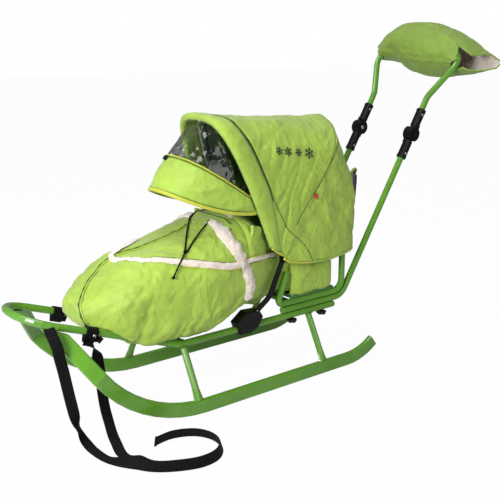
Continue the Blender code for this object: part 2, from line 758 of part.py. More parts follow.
def visor_window():
    """The clear sheet from the peak's upper edge to the roof of the hood's mouth."""
    low = visor_edge(VISOR_WIDTH - 0.0015, *VISOR_HIGH)
    base, top = WINDOW_TOP
    high = []
    for k in range(len(low)):
        angle = math.pi * k / (len(low) - 1)
        rise = 0.44 + 0.56 * math.sin(angle) ** 0.55
        x = math.copysign((1 - min(rise, 1.0) ** 3.3) ** 0.303, math.cos(angle)) * (VISOR_WIDTH - 0.0035)
        high.append(Vector((x, base[0] + (top[0] - base[0]) * rise, base[1] + (top[1] - base[1]) * rise)))
    rows = [[a.lerp(b, share) + Vector((0, 0, 0.0016)) for a, b in zip(low, high)] for share in (0.0, 0.5, 1.0)]
    return solidify(loft("visor_window", rows, closed=False), 0.0012)


def visor_snap():
    tilt = (math.radians(-38), 0, math.radians(-8))
    return box("visor_snap", (-0.036, -0.5005, 0.668), (0.022, 0.005, 0.013), tilt, 0.0015)


# Footmuff and seat
MUFF_SECTIONS = (
    # y, half width, top z, bottom z, squareness of the lower half
    (-0.828, 0.052, 0.320, 0.286, 0.70),
    (-0.820, 0.066, 0.333, 0.271, 0.70),
    (-0.800, 0.079, 0.345, 0.255, 0.60),
    (-0.784, 0.094, 0.356, 0.246, 0.50),
    (-0.760, 0.115, 0.372, 0.238, 0.42),
    (-0.730, 0.131, 0.391, 0.223, 0.36),
    (-0.705, 0.139, 0.407, 0.206, 0.34),
    (-0.680, 0.143, 0.421, 0.198, 0.34),
    (-0.650, 0.149, 0.428, 0.195, 0.34),
    (-0.620, 0.153, 0.434, 0.197, 0.34),
    (-0.590, 0.156, 0.438, 0.1965, 0.34),
    (-0.554, 0.158, 0.447, 0.1912, 0.32),
    (-0.500, 0.160, 0.464, 0.1945, 0.30),
    (-0.430, 0.159, 0.486, 0.2070, 0.36),
    (-0.400, 0.157, 0.493, 0.2280, 0.46),
    (-0.380, 0.154, 0.496, 0.2370, 0.56),
    (-0.336, 0.148, 0.500, 0.2420, 0.62),
)
MUFF_STATIONS = (-0.828, -0.820, -0.802, -0.784, -0.76, -0.73, -0.705, -0.68, -0.65, -0.62, -0.59, -0.554,
                 -0.50, -0.45, -0.415, -0.38, -0.336)
MUFF_POINTS = 24


def muff_point(y, angle, inset=0.0):
    """A point of the footmuff's skin; angle 0 is the left side, a quarter turn is the top."""
    width, top, bottom, square = interpolate(MUFF_SECTIONS, y)
    if inset:
        bottom = max(bottom, rail_height(y) + TUBE_R)
    centre, half = (top + bottom) / 2, (top - bottom) / 2 - inset
    c, s = ellipse_power(angle, 0.78 if math.sin(angle) > 0 else square)
    return Vector(((width - inset) * c, y, centre + half * s))


def rail_saddle(side):
    """The channel that a seat rail presses into the underside of the footmuff, open downwards."""
    line = [side_point(p, side) for p in RAIL_LINE[1:3]]
    line = [Vector((side * RAIL_X, -0.44, RAIL_Z))] + line
    line.append(line[-1] + Vector((0, -0.07, 0.07 * RAIL_SLOPE)))
    path = rounded_path(line, [0.10, 0.30], 5)
    radius = TUBE_R + 0.0007
    outline = [(radius * math.cos(math.pi * k / 6), radius * math.sin(math.pi * k / 6)) for k in range(7)]
    outline += [(-radius, -0.08), (radius, -0.08)]
    rings = []
    for k, point in enumerate(path):
        way = (path[min(k + 1, len(path) - 1)] - path[max(k - 1, 0)]).normalized()
        up = Vector((1, 0, 0)).cross(way)
        up = -up if up.z < 0 else up
        rings.append([point + Vector((1, 0, 0)) * a + up * b for a, b in outline])
    return loft("rail_saddle_" + side_name(side), rings)


def footmuff():
    """The padded foot bag: a deep hollow, open at the back, sagging over and between the rails in front."""
    angles = [math.tau * (k + 0.5) / MUFF_POINTS for k in range(MUFF_POINTS)]
    outer = loft("footmuff", [[muff_point(y, a) for a in angles] for y in MUFF_STATIONS])
    hollow = [[muff_point(y, a, MUFF_WALL) for a in angles] for y in MUFF_STATIONS[2:]]
    hollow.append([point + Vector((0, 0.03, 0)) for point in hollow[-1]])
    return joined("footmuff", [outer], [loft("footmuff_hollow", hollow), rail_saddle(1), rail_saddle(-1)])


def seat_liner():
    """The seat part of the footmuff: a trough between the side bars, open above for the child."""
    rows = []
    for y, half, pinch, low, high in ((-0.3350, 0.121, 0.094, 0.243, 0.480), (-0.296, 0.119, 0.094, 0.220, 0.472),
                                      (-0.262, 0.110, 0.104, 0.216, 0.460), (-0.212, 0.1035, 0.1035, 0.2436, 0.446),
                                      (-0.180, 0.1035, 0.1035, 0.2436, 0.440), (-0.165, 0.1205, 0.1205, 0.2436, 0.436),
                                      (-0.100, 0.1225, 0.1225, 0.2436, 0.430), (-0.040, 0.1225, 0.1225, 0.2436, 0.430),
                                      (-0.012, 0.1200, 0.1200, 0.2436, 0.436)):
        row = []
        for k in range(15):
            angle = math.pi * (1 + k / 14)
            c, s = ellipse_power(angle, 0.42 if y < -0.17 else 0.26)
            z = high + (high - low) * s
            side = half if z > 0.262 else pinch
            row.append(Vector((side * c, y, z)))
        rows.append(row)
    return solidify(loft("seat_liner", rows, closed=False), 0.010)


def back_cushion():
    """The padded backrest: crowned in front, drawn in round its edge, leaning on the back tube."""
    bm = bmesh.new()
    bmesh.ops.create_cube(bm, size=1.0)
    bmesh.ops.scale(bm, vec=(0.188, 0.030, 0.380), verts=bm.verts)
    bmesh.ops.subdivide_edges(bm, edges=bm.edges, cuts=3, use_grid_fill=True)
    for vert in bm.verts:
        across, up = vert.co.x / 0.094, vert.co.z / 0.190
        crown = (1 - across ** 4) * (1 - up ** 4)
        channel = 0.35 * math.cos(up * math.pi * 3) * (1 - across ** 2)
        if vert.co.y < 0:
            vert.co.y -= 0.010 * crown + 0.004 * channel * crown
        vert.co.x *= 1 - 0.05 * up ** 4
        vert.co.z *= 1 - 0.03 * across ** 4
    obj = new_object("back_cushion", bm)
    obj.location = Vector((0, 0.0075, 0.4455))
    return obj


# Straps and cords
def webbing_loop(side):
    """The riveted webbing loop on the seat rail: round the tube, pinched into a tab below it."""
    y = -0.818
    centre = Vector((NOSE_X, y, rail_height(y)))
    way = Vector((0, -1, RAIL_SLOPE)).normalized()
    down = Vector((1, 0, 0)).cross(way)
    if down.z > 0:
        down = -down
    count = 16
    inner, outer = [], []
    for k in range(count):
        angle = math.tau * k / count
        side_way, drop = math.sin(angle), math.cos(angle)
        inner.append((TUBE_R * 1.045 * side_way, TUBE_R * 1.045 * drop))
        stretch = 1.0 + (1.15 * max(0.0, drop) ** 4)
        narrow = 1.0 - 0.35 * max(0.0, drop) ** 2
        outer.append((0.0136 * side_way * narrow, 0.0136 * drop * stretch))
    rings = []
    for along, outline in ((-0.017, inner), (-0.017, outer), (0.017, outer), (0.017, inner)):
        rings.append([side_point(centre + way * along + Vector((1, 0, 0)) * a + down * b, side) for a, b in outline])
    obj = loft("webbing_loop_" + side_name(side), rings + [rings[0]], caps=False)
    bm = bmesh.new()
    bm.from_mesh(obj.data)
    bmesh.ops.remove_doubles(bm, verts=bm.verts, dist=0.00001)
    bmesh.ops.recalc_face_normals(bm, faces=bm.faces)
    bm.to_mesh(obj.data)
    bm.free()
    return obj


STRAP_LEFT_ROUTE = (
    (0.1470, -0.932, 0.2680), (0.1500, -0.930, 0.245), (0.1500, -0.922, 0.205), (0.1480, -0.910, 0.138),
    (0.1450, -0.896, 0.070), (0.1450, -0.884, 0.026), (0.162, -0.876, 0.0036), (0.205, -0.877, 0.0012), (0.262, -0.870, 0.0012),
    (0.325, -0.845, 0.0012), (0.375, -0.812, 0.0012), (0.410, -0.760, 0.0012), (0.428, -0.704, 0.0012),
    (0.418, -0.652, 0.0012), (0.378, -0.618, 0.0012), (0.330, -0.615, 0.0012), (0.290, -0.640, 0.0012),
    (0.268, -0.690, 0.0012), (0.272, -0.742, 0.0012),
)
STRAP_RIGHT_ROUTE = (
    (0.1140, -0.822, 0.2380), (0.1200, -0.816, 0.215), (0.1280, -0.814, 0.180), (0.1290, -0.812, 0.125),
    (0.1300, -0.806, 0.070), (0.1360, -0.800, 0.030), (0.160, -0.804, 0.0072), (0.205, -0.817, 0.0034), (0.262, -0.832, 0.0034),
    (0.318, -0.826, 0.0034), (0.372, -0.806, 0.0034), (0.408, -0.757, 0.0034), (0.426, -0.703, 0.0034),
    (0.416, -0.654, 0.0034), (0.377, -0.620, 0.0034), (0.330, -0.617, 0.0034), (0.292, -0.641, 0.0034),
    (0.270, -0.690, 0.0034), (0.274, -0.740, 0.0034),
)
FLOOR = Vector((0, 0, 1))


def floor_strap(name, route, lead_across, lead_share):
    """A strap whose width turns from lead_across in the air to flat on the floor."""
    path = smooth_route(route, 0.021)
    rings = []
    for k, point in enumerate(path):
        share = k / (len(path) - 1)
        ahead, behind = path[min(k + 1, len(path) - 1)], path[max(k - 1, 0)]
        way = (ahead - behind).normalized()
        flat = FLOOR.cross(way)
        blend = min(1.0, max(0.0, (share - lead_share[0]) / (lead_share[1] - lead_share[0])))
        blend = blend * blend * (3 - 2 * blend)
        across = Vector(lead_across).lerp(flat.normalized() if flat.length > 0.05 else Vector(lead_across), blend)
        across = (across - way * across.dot(way)).normalized()
        normal = way.cross(across)
        rings.append([point + across * a + normal * b
                      for a, b in ((STRAP_WIDTH / 2, STRAP_THICK / 2), (-STRAP_WIDTH / 2, STRAP_THICK / 2),
                                   (-STRAP_WIDTH / 2, -STRAP_THICK / 2), (STRAP_WIDTH / 2, -STRAP_THICK / 2))])
    return loft(name, rings, smooth=False)


def muff_route(rows, lift):
    """Places on the footmuff's skin, raised by the cord's radius and a gap; rows are (y, angle in degrees)."""
    points = []
    for y, degrees in rows:
        angle = math.radians(degrees)
        here = muff_point(y, angle)
        along = muff_point(y, angle + 0.02) - muff_point(y, angle - 0.02)
        normal = Vector((0, 1, 0)).cross(along).normalized()
        if normal.dot(here - muff_point(y, angle + math.pi)) < 0:
            normal = -normal
        points.append(here + normal * lift)
    return points


DRAWCORD_LONG = ((-0.388, 106), (-0.425, 97), (-0.462, 88), (-0.504, 72), (-0.532, 57), (-0.546, 50),
                 (-0.574, 39), (-0.602, 26))
DRAWCORD_SHORT = ((-0.412, 79), (-0.436, 74), (-0.462, 69), (-0.500, 61), (-0.533, 52))


def drawcord(name, rows, lift):
    return tube(name, smooth_route(muff_route(rows, lift), 0.010), CORD_R, 2)


# Assembly
def build():
    clear_scene()
    paint = make_material("frame_paint", (0.12, 0.36, 0.09), 0.35, 0.2)
    plastic = make_material("black_plastic", (0.012, 0.012, 0.014), 0.38)
    cloth = make_material("green_cloth", (0.40, 0.62, 0.10), 0.75)
    lining = make_material("dark_lining", (0.05, 0.16, 0.05), 0.85)
    board = make_material("painted_board", (0.10, 0.30, 0.08), 0.6)
    clear = make_material("clear_sheet", (0.85, 0.9, 0.9), 0.08, 0.0, 0.3)
    webbing = make_material("black_webbing", (0.015, 0.015, 0.018), 0.8)
    mesh_cloth = make_material("mesh_cloth", (0.03, 0.04, 0.03), 0.8)

    root = make_empty("sled_stroller_root", (0, CENTRE_SHIFT_Y, 0))
    handle_axis = make_empty("handle_axis", (0, HUB.y, HUB.z), root)
    hood_axis = make_empty("hood_axis", HOOD_PIVOT, root)
    visor_axis = make_empty("visor_axis", VISOR_PIVOT, root)

    attach(seat_rail_tube(), paint, root)
    attach(backrest_tube(), paint, root)
    for side in (1, -1):
        attach(runner(side), paint, root)
        attach(rail_end_plug(side), plastic, root)
        attach(pusher_tube(side), paint, root)
        attach(socket(side, upper=False), plastic, root)
        attach(socket(side, upper=True), plastic, handle_axis)
        attach(canopy_clamp(side), plastic, root)
        attach(canopy_stay(side), plastic, root)
        attach(hood_hub(side), plastic, root)
        attach(webbing_loop(side), webbing, root)
        for y, place in zip(LEG_Y, ("front", "rear")):
            attach(leg(side, y, f"leg_{place}_{side_name(side)}"), paint, root)
        for y, place in zip(KNOB_Y, ("front", "rear")):
            knob_axis = make_empty(f"knob_axis_{place}_{side_name(side)}", (side * RAIL_X, y, RAIL_Z - TUBE_R), root)
            attach(star_knob(f"clamp_knob_{place}_{side_name(side)}", side * RAIL_X, y), plastic, knob_axis)
        button_axis = make_empty("button_axis_" + side_name(side), side_point((HUB.x, 0, 0), side), handle_axis)
        attach(lock_button(side), plastic, button_axis)
    for y, place in zip(LEG_Y, ("front", "rear")):
        attach(cross_tube(y, "cross_tube_" + place), paint, root)
    attach(seat_board(), board, root)
    attach(handle_tube(), paint, handle_axis)
    attach(hand_muff(), cloth, handle_axis)

    attach(hood_rim(), cloth, hood_axis)
    attach(hood_canopy(), cloth, hood_axis)
    attach(bow("hood_front_bow", 0.06, HOOD_CLOTH + 2 * STRIP_THICK + 0.0014), plastic, hood_axis)
    attach(bow("hood_rear_bow", 0.965, HOOD_CLOTH + STRIP_THICK + 0.0008), plastic, root)
    attach(hood_back(), cloth, root)
    attach(rear_pocket(), mesh_cloth, root)
    attach(visor_panel(), cloth, visor_axis)
    attach(visor_window(), clear, visor_axis)
    attach(visor_snap(), plastic, visor_axis)

    attach(footmuff(), cloth, root)
    attach(seat_liner(), lining, root)
    attach(back_cushion(), lining, root)
    attach(floor_strap("tow_strap_left", STRAP_LEFT_ROUTE, (0.35, 0.93, 0.0), (0.14, 0.30)), webbing, root)
    attach(floor_strap("tow_strap_right", STRAP_RIGHT_ROUTE, (0.05, 1.0, 0.0), (0.14, 0.30)), webbing, root)
    attach(drawcord("drawcord_long", DRAWCORD_LONG, CORD_R + 0.0035), webbing, root)
    attach(drawcord("drawcord_short", DRAWCORD_SHORT, CORD_R + 0.0035), webbing, root)


build()
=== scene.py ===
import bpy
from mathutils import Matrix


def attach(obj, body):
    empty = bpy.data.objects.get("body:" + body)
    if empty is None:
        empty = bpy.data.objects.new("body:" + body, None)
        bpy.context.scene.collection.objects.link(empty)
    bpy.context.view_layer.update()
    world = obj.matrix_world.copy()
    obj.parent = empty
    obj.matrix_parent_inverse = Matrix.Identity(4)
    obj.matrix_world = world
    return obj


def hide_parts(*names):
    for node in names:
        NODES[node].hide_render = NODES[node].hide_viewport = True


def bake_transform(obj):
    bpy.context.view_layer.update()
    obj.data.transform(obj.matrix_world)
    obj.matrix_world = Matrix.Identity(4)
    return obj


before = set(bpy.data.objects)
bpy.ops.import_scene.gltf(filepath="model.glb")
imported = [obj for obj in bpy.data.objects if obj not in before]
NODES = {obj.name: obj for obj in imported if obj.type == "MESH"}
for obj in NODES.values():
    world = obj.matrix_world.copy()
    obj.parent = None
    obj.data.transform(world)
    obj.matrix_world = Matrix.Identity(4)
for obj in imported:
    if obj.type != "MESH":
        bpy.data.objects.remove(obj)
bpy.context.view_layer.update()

from math import copysign, cos, exp, pi, radians, sin, tau

import bmesh
import bpy
from mathutils import Matrix, Vector, noise
from mathutils.bvhtree import BVHTree

# Metres in the layout frame of part.py; its y plus SHIFT is the row frame's y
SHIFT = 0.1924
TUBE_R = 0.01
RAIL_X, RAIL_Z, RAIL_SLOPE, RAIL_BEND_Y = 0.116, 0.1805, 0.36, -0.566
NOSE_X = 0.096
HUB = Vector((0.116, 0.327, 0.684))
HUB_HALF, SOCKET_REACH, SOCKET_WIDTH = 0.0145, 0.0855, 0.025
PUSHER_DIR = Vector((0.0, 0.515, 0.857)).normalized()
HOOD_WIDTH = 0.15
VISOR_WIDTH = 0.1255
STRAP_WIDTH, STRAP_THICK = 0.028, 0.0016
CORD_R = 0.0022
SIDES = ((1, "left"), (-1, "right"))
SUNK = 0.0002  # how deep a fastener's foot sits in what it stands on


def at(x, y, z):
    """Layout point to row frame."""
    return Vector((x, y + SHIFT, z))


def clamp(value, low=0.0, high=1.0):
    return max(low, min(high, value))


# --- camera, light, floor
CAMERA_AT = at(1.90066, -1.7, 1.02432)
CAMERA_BACK = Vector((0.76384, -0.58896, 0.26402)).normalized()
CAMERA_RIGHT = Vector((0.61062, 0.79193, 0.0)).normalized()
CAMERA_UP = CAMERA_BACK.cross(CAMERA_RIGHT).normalized()
LENS_MM, FOCAL_PX, MIDDLE_PX = 59.59, 827.65, 250


def link_object(name, data):
    thing = bpy.data.objects.new(name, data)
    bpy.context.scene.collection.objects.link(thing)
    return thing


def mesh_from(bm, name):
    mesh = bpy.data.meshes.new(name)
    bm.to_mesh(mesh)
    bm.free()
    return mesh


def add_camera():
    data = bpy.data.cameras.new("camera")
    data.sensor_width, data.lens = 36.0, LENS_MM
    data.clip_start, data.clip_end = 0.05, 60.0
    camera = link_object("camera", data)
    turn = Matrix((CAMERA_RIGHT, CAMERA_UP, CAMERA_BACK)).transposed().to_4x4()
    camera.matrix_world = Matrix.Translation(CAMERA_AT) @ turn
    bpy.context.scene.camera = camera


LIGHTS = (  # name, place, target, side, watts
    ("key_light", (0.9, -2.5, 1.35), (0, -0.4, 0.35), 0.9, 66),
    ("fill_light", (3.2, 0.2, 1.9), (0, 0, 0.45), 2.0, 26),
    ("top_light", (-0.3, -0.6, 3.2), (0, -0.2, 0.5), 1.6, 42),
)
SKY_STRENGTH = 0.24
FLOOR_GREY, FLOOR_Z, FLOOR_HALF = 0.62, -0.0004, 14
FLOOR_GLOW = 0.975  # the share of plain white in the floor, in the camera's eyes only
WHITE = (1, 1, 1, 1)


def add_area(name, place, target, side, watts):
    data = bpy.data.lights.new(name, "AREA")
    data.shape = "RECTANGLE"
    data.size = data.size_y = side
    data.energy = watts
    lamp = link_object(name, data)
    lamp.location = place
    lamp.rotation_euler = (Vector(target) - Vector(place)).to_track_quat("-Z", "Y").to_euler()


def mix_for_camera(tree, share, plain, shown, output):
    """Other rays meet the shader plain; the camera sees a share of the shader shown."""
    seen_by = add_node(tree, "LightPath").outputs["Is Camera Ray"]
    if share < 1:
        seen_by = add_node(tree, "Math", {0: seen_by, 1: share}, operation="MULTIPLY").outputs[0]
    mixer = add_node(tree, "MixShader", {0: seen_by, 1: plain.outputs[0], 2: shown.outputs[0]})
    feed(tree, tree.nodes[output], {0: mixer.outputs[0]})


def add_studio():
    scene = bpy.context.scene
    scene.view_settings.view_transform = "Standard"
    scene.view_settings.look = "None"
    scene.world = bpy.data.worlds.new("studio")
    scene.world.use_nodes = True
    tree = scene.world.node_tree
    sky = tree.nodes["Background"]
    feed(tree, sky, {"Color": WHITE, "Strength": SKY_STRENGTH})
    mix_for_camera(tree, 1, sky, add_node(tree, "Background", {"Color": WHITE}), "World Output")
    for light in LIGHTS:
        add_area(*light)
    bm = bmesh.new()
    bmesh.ops.create_grid(bm, x_segments=2, y_segments=2, size=FLOOR_HALF)
    floor = link_object("studio_floor", mesh_from(bm, "studio_floor"))
    floor.location.z = FLOOR_Z
    look = Look("studio_floor", [FLOOR_GREY] * 3, 0.9)
    glow = add_node(look.tree, "Emission", {"Strength": 1.0})
    mix_for_camera(look.tree, FLOOR_GLOW, look.shader, glow, "Material Output")
    floor.data.materials.append(look.material)


# --- materials


def feed(tree, node, inputs):
    """Set inputs of a node, by name or number, to values or to other nodes' outputs."""
    for key, value in inputs.items():
        if isinstance(value, bpy.types.NodeSocket):
            tree.links.new(value, node.inputs[key])
        else:
            node.inputs[key].default_value = value


def add_node(tree, kind, inputs=None, **settings):
    node = tree.nodes.new("ShaderNode" + kind)
    for key, value in settings.items():
        setattr(node, key, value)
    feed(tree, node, inputs or {})
    return node


class Look:
    """A material under way: its methods add nodes and hand back the output that counts."""

    def __init__(self, name, colour, roughness, **inputs):
        self.material = bpy.data.materials.new(name)
        self.material.use_nodes = True
        self.tree = self.material.node_tree
        self.shader = self.tree.nodes["Principled BSDF"]
        self.colour = colour
        self.set(Base_Color=(*colour, 1), Roughness=roughness, **inputs)

    def set(self, **inputs):
        feed(self.tree, self.shader, {key.replace("_", " "): value for key, value in inputs.items()})
        return self.material

    def place(self, stretch=(1, 1, 1)):
        coords = add_node(self.tree, "TexCoord").outputs["Object"]
        return add_node(self.tree, "Mapping", {"Vector": coords, "Scale": stretch}).outputs["Vector"]

    def noise(self, place, scale, detail=3.0, rough=0.5, distortion=0.0, more=None, **settings):
        inputs = {"Vector": place, "Scale": scale, "Detail": detail, "Roughness": rough, "Distortion": distortion}
        return add_node(self.tree, "TexNoise", inputs | (more or {}), **settings).outputs["Fac"]

    def ridged(self, stretch, scale, detail, distortion):
        """Sharp-backed creases."""
        return self.noise(self.place(stretch), scale, detail, 0.5, distortion,
                          {"Lacunarity": 2.1, "Offset": 0.85, "Gain": 1.2}, noise_type="RIDGED_MULTIFRACTAL")

    def calc(self, operation, *values):
        return add_node(self.tree, "Math", dict(enumerate(values)), operation=operation).outputs[0]

    def times(self, value, share):
        return self.calc("MULTIPLY", value, share)

    def plus(self, value, other, share):
        return self.calc("ADD", value, self.times(other, share))

    def tones(self, value, *stops):
        """A ramp through the material's own colour, times the share given for each place."""
        node = add_node(self.tree, "ValToRGB", {"Fac": value})
        elements = node.color_ramp.elements
        while len(elements) < len(stops):
            elements.new(0.5)
        for element, (place, share) in zip(elements, stops):
            element.position = place
            element.color = (*(min(1.0, c * share) for c in self.colour), 1)
        return node.outputs["Color"]

    def between(self, value, low, high):
        return add_node(self.tree, "MapRange", {"To Min": low, "To Max": high, "Value": value}).outputs["Result"]

    def weave(self, place, period):
        """Over-and-under threads: two crossed sine waves that work on any side of a piece."""
        x, y, z = add_node(self.tree, "SeparateXYZ", {0: place}).outputs
        waves = (self.calc("SINE", self.times(line, tau / period))
                 for line in (self.calc("ADD", x, z), self.plus(y, z, 0.35)))
        return self.calc("MULTIPLY", *waves)

    def bump(self, height, strength, distance):
        """The last step: small relief. Returns the material."""
        node = add_node(self.tree, "Bump", {"Strength": strength, "Distance": distance, "Height": height})
        return self.set(Normal=node.outputs["Normal"])


def cloth_material(name, colour, roughness=0.62, period=0.0012, sheen=0.25, contrast=0.16, wrinkle=0.82):
    """Woven polyester: threads, slow changes of tone, and small creases."""
    look = Look(name, colour, roughness, Sheen_Weight=sheen, Sheen_Roughness=0.45)
    place = look.place()
    fine = look.noise(place, 60.0, 3.0, 0.6)
    tone = look.plus(look.times(look.noise(place, 7.0, 4.0, 0.55), 0.7), fine, 0.3)
    look.set(Base_Color=look.tones(tone, (0.3, 1 - contrast), (0.52, 1), (0.74, 1 + contrast)),
             Roughness=look.between(fine, roughness - 0.08, roughness + 0.1))
    wrinkles = look.plus(look.ridged((1, 0.65, 1.25), 7.5, 2.5, 0.7), look.ridged((0.8, 1.2, 1), 24, 3, 0.5), 0.3)
    return look.bump(look.plus(wrinkles, look.weave(place, period), 0.015), wrinkle, 0.0065)


def paint_material(name, colour):
    """Gloss powder coat with a faint orange peel and slight scuffs."""
    look = Look(name, colour, 0.3, Coat_Weight=0.7, Specular_IOR_Level=0.35, Coat_Roughness=0.12)
    place = look.place()
    scuff = look.noise(look.place((1, 1, 5)), 90.0, 6.0, 0.7)
    look.set(Base_Color=look.tones(look.noise(place, 14.0, 4.0), (0.25, 0.84), (0.55, 1), (0.85, 1.14)),
             Roughness=look.between(scuff, 0.16, 0.34))
    return look.bump(look.noise(place, 420.0, 2.0), 0.12, 0.0006)


def plastic_material(name, colour, roughness=0.4):
    """Moulded plastic with a spark-eroded grain and rubbed patches."""
    look = Look(name, colour, roughness, Specular_IOR_Level=0.24)
    place = look.place()
    rubbed = look.noise(place, 30.0, 5.0, 0.65)
    look.set(Base_Color=look.tones(rubbed, (0.35, 1), (0.8, 2.2)),
             Roughness=look.between(rubbed, roughness - 0.1, roughness + 0.14))
    return look.bump(look.noise(place, 900.0, 2.0), 0.25, 0.0004)


def metal_material(name, colour=(0.62, 0.62, 0.61)):
    look = Look(name, colour, 0.32, Metallic=1.0)
    worn = look.noise(look.place(), 260.0, 5.0, 0.7)
    look.set(Base_Color=look.tones(worn, (0.3, 0.7), (0.7, 1)), Roughness=look.between(worn, 0.22, 0.48))
    return look.bump(worn, 0.15, 0.0004)


def webbing_material(name, colour):
    """Flat woven strap: close ribs across it and dusty tones."""
    look = Look(name, colour, 0.7, Sheen_Weight=0.02, Specular_IOR_Level=0.12)
    place = look.place()
    dust = look.noise(place, 55.0, 5.0, 0.65)
    look.set(Base_Color=look.tones(dust, (0.35, 1), (0.8, 2.6)))
    return look.bump(look.plus(look.weave(place, 0.0016), dust, 0.6), 0.3, 0.0008)


def fleece_material(name, colour):
    look = Look(name, colour, 0.92, Sheen_Weight=0.6, Sheen_Roughness=0.6)
    place = look.place()
    tufts = look.noise(place, 230.0, 5.0, 0.7, 0.6)
    both = look.plus(look.times(tufts, 0.5), look.noise(place, 45.0, 4.0, 0.6), 0.5)
    look.set(Base_Color=look.tones(both, (0.3, 0.66), (0.5, 1), (0.75, 1.15)))
    return look.bump(tufts, 0.8, 0.003)


def clear_material(name):
    """Flexible clear vinyl, crinkled, with soft scratches."""
    look = Look(name, (0.93, 0.96, 0.94), 0.05, Transmission_Weight=1.0, IOR=1.42, Specular_IOR_Level=0.3)
    stretch = (1, 1, 0.55)
    look.set(Roughness=look.between(look.noise(look.place(stretch), 120.0, 3.0, 0.6), 0.0, 0.03))
    return look.bump(look.ridged(stretch, 9.0, 2.0, 1.6), 0.45, 0.01)


def net_material(name, colour):
    """Black net: threads round small square holes."""
    look = Look(name, colour, 0.75)
    x, _, z = add_node(look.tree, "SeparateXYZ", {0: look.place()}).outputs
    across, up = (look.calc("ABSOLUTE", look.calc("SINE", look.times(line, pi / 0.0042))) for line in (x, z))
    hole = look.calc("GREATER_THAN", look.calc("MINIMUM", across, up), 0.42)
    look.set(Alpha=look.calc("SUBTRACT", 1.0, look.times(hole, 0.85)))
    return look.bump(look.calc("ADD", across, up), 0.4, 0.0006)


def board_material(name, colour):
    look = Look(name, colour, 0.5)
    grain = look.noise(look.place((1, 0.12, 1)), 160.0, 5.0, 0.6, 0.4)
    look.set(Base_Color=look.tones(grain, (0.3, 0.7), (0.7, 1.15)))
    return look.bump(grain, 0.3, 0.0008)


LIME = (0.35, 0.52, 0.058)
CLOTH = cloth_material("lime_cloth", LIME, 0.5)
# The hand muff's cloth: the same lime as the rest, darkened to about six tenths as painted shade
SLEEVE_CLOTH_PAINTED_SHADE = cloth_material("lime_cloth_sleeve_painted_shade", (0.2, 0.325, 0.036), 0.56, wrinkle=0.75)
CLOTH_SMOOTH = cloth_material("lime_cloth_smooth", (0.335, 0.53, 0.078), 0.66, contrast=0.1, wrinkle=0.25)
LINING = cloth_material("hood_lining", (0.04, 0.105, 0.016), 0.8, sheen=0.05)
CUSHION = cloth_material("seat_lining", (0.3, 0.45, 0.06), 0.8)
PIPING = cloth_material("yellow_piping", (0.47, 0.5, 0.036), 0.55, period=0.0009, contrast=0.08, wrinkle=0.1)
# Dark colour for seam lines and hems: painted shade in their grooves; the zip chain and the pocket piping wear it as
# well
SEAM_PAINTED_SHADE = cloth_material("seam_painted_shade", (0.035, 0.075, 0.012), 0.8, sheen=0.05, wrinkle=0.1)
FLEECE = fleece_material("fleece", (0.79, 0.69, 0.6))
PAINT = paint_material("green_powder_coat", (0.104, 0.29, 0.02))
PLASTIC = plastic_material("black_plastic", (0.0022, 0.0022, 0.0025), 0.32)
WEBBING = webbing_material("black_webbing", (0.002, 0.0017, 0.0019))
STEEL = metal_material("zinc_plate")
CLEAR = clear_material("clear_vinyl")
NET = net_material("black_net", (0.012, 0.014, 0.012))
BOARD = board_material("painted_board", (0.045, 0.16, 0.03))
TAG = cloth_material("red_tag", (0.72, 0.02, 0.02), 0.6, wrinkle=0.1)
PRINT = cloth_material("dark_print", (0.012, 0.022, 0.01), 0.6, sheen=0.0, wrinkle=0.05)


# --- mesh helpers
def new_piece(name, mesh, mats, body=None, nodes=()):
    piece = link_object(name, mesh)
    for mat in mats if isinstance(mats, (list, tuple)) else [mats]:
        mesh.materials.append(mat)
    mesh.shade_smooth()
    return settle(piece, body, nodes)


def settle(piece, body=None, nodes=()):
    """Say which body a piece rides on and which CAD nodes it stands for."""
    if body:
        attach(piece, body)
    if nodes:
        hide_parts(*nodes)
    return piece


def cloth_piece(name, rows, mats, thickness, body=None, nodes=(), inner=1):
    """A sheet drawn as a grid, with thickness; its hollow side shows material number inner."""
    piece = new_piece(name, grid_mesh(name, rows), mats)
    thicken(piece, thickness, inner)
    apply_modifiers(piece)
    piece.data.shade_smooth()
    return settle(piece, body, nodes)


def solid_piece(name, rows, mats, body=None, nodes=(), caps=True):
    """A piece drawn as a row of closed rings."""
    return new_piece(name, grid_mesh(name, rows, closed=True, caps=caps), mats, body, nodes)


def grid_mesh(name, rows, closed=False, caps=False):
    bm = bmesh.new()
    grid = [[bm.verts.new(p) for p in row] for row in rows]
    count = len(rows[0])
    for row, following in zip(grid, grid[1:]):
        for k in range(count if closed else count - 1):
            nxt = (k + 1) % count
            bm.faces.new((row[k], row[nxt], following[nxt], following[k]))
    if caps:
        bm.faces.new(grid[0][::-1])
        bm.faces.new(grid[-1])
    bmesh.ops.recalc_face_normals(bm, faces=bm.faces)
    return mesh_from(bm, name)


def thicken(piece, thickness, inner_material=0):
    """Thickness on the hollow side of an open sheet."""
    mesh = piece.data
    centre = sum((v.co for v in mesh.vertices), Vector()) / len(mesh.vertices)
    outward = sum((f.center - centre).dot(f.normal) * f.area for f in mesh.polygons)
    if outward < 0:
        mesh.flip_normals()
    modifier = piece.modifiers.new("thickness", "SOLIDIFY")
    modifier.thickness = thickness
    modifier.offset = -1.0
    modifier.use_even_offset = True
    modifier.material_offset = inner_material
    return piece


def apply_modifiers(piece):
    depsgraph = bpy.context.evaluated_depsgraph_get()
    bpy.context.view_layer.update()
    mesh = bpy.data.meshes.new_from_object(piece.evaluated_get(depsgraph), depsgraph=depsgraph)
    piece.modifiers.clear()
    piece.data = mesh
    return piece


def fold(place, way, length, width, seed):
    """Noise drawn out along one direction, from -1 to 1."""
    way = Vector(way).normalized()
    along = place.dot(way)
    rest = place - way * along
    return noise.noise(rest / width + way * (along / length) + Vector((seed, seed * 0.7, -seed)))


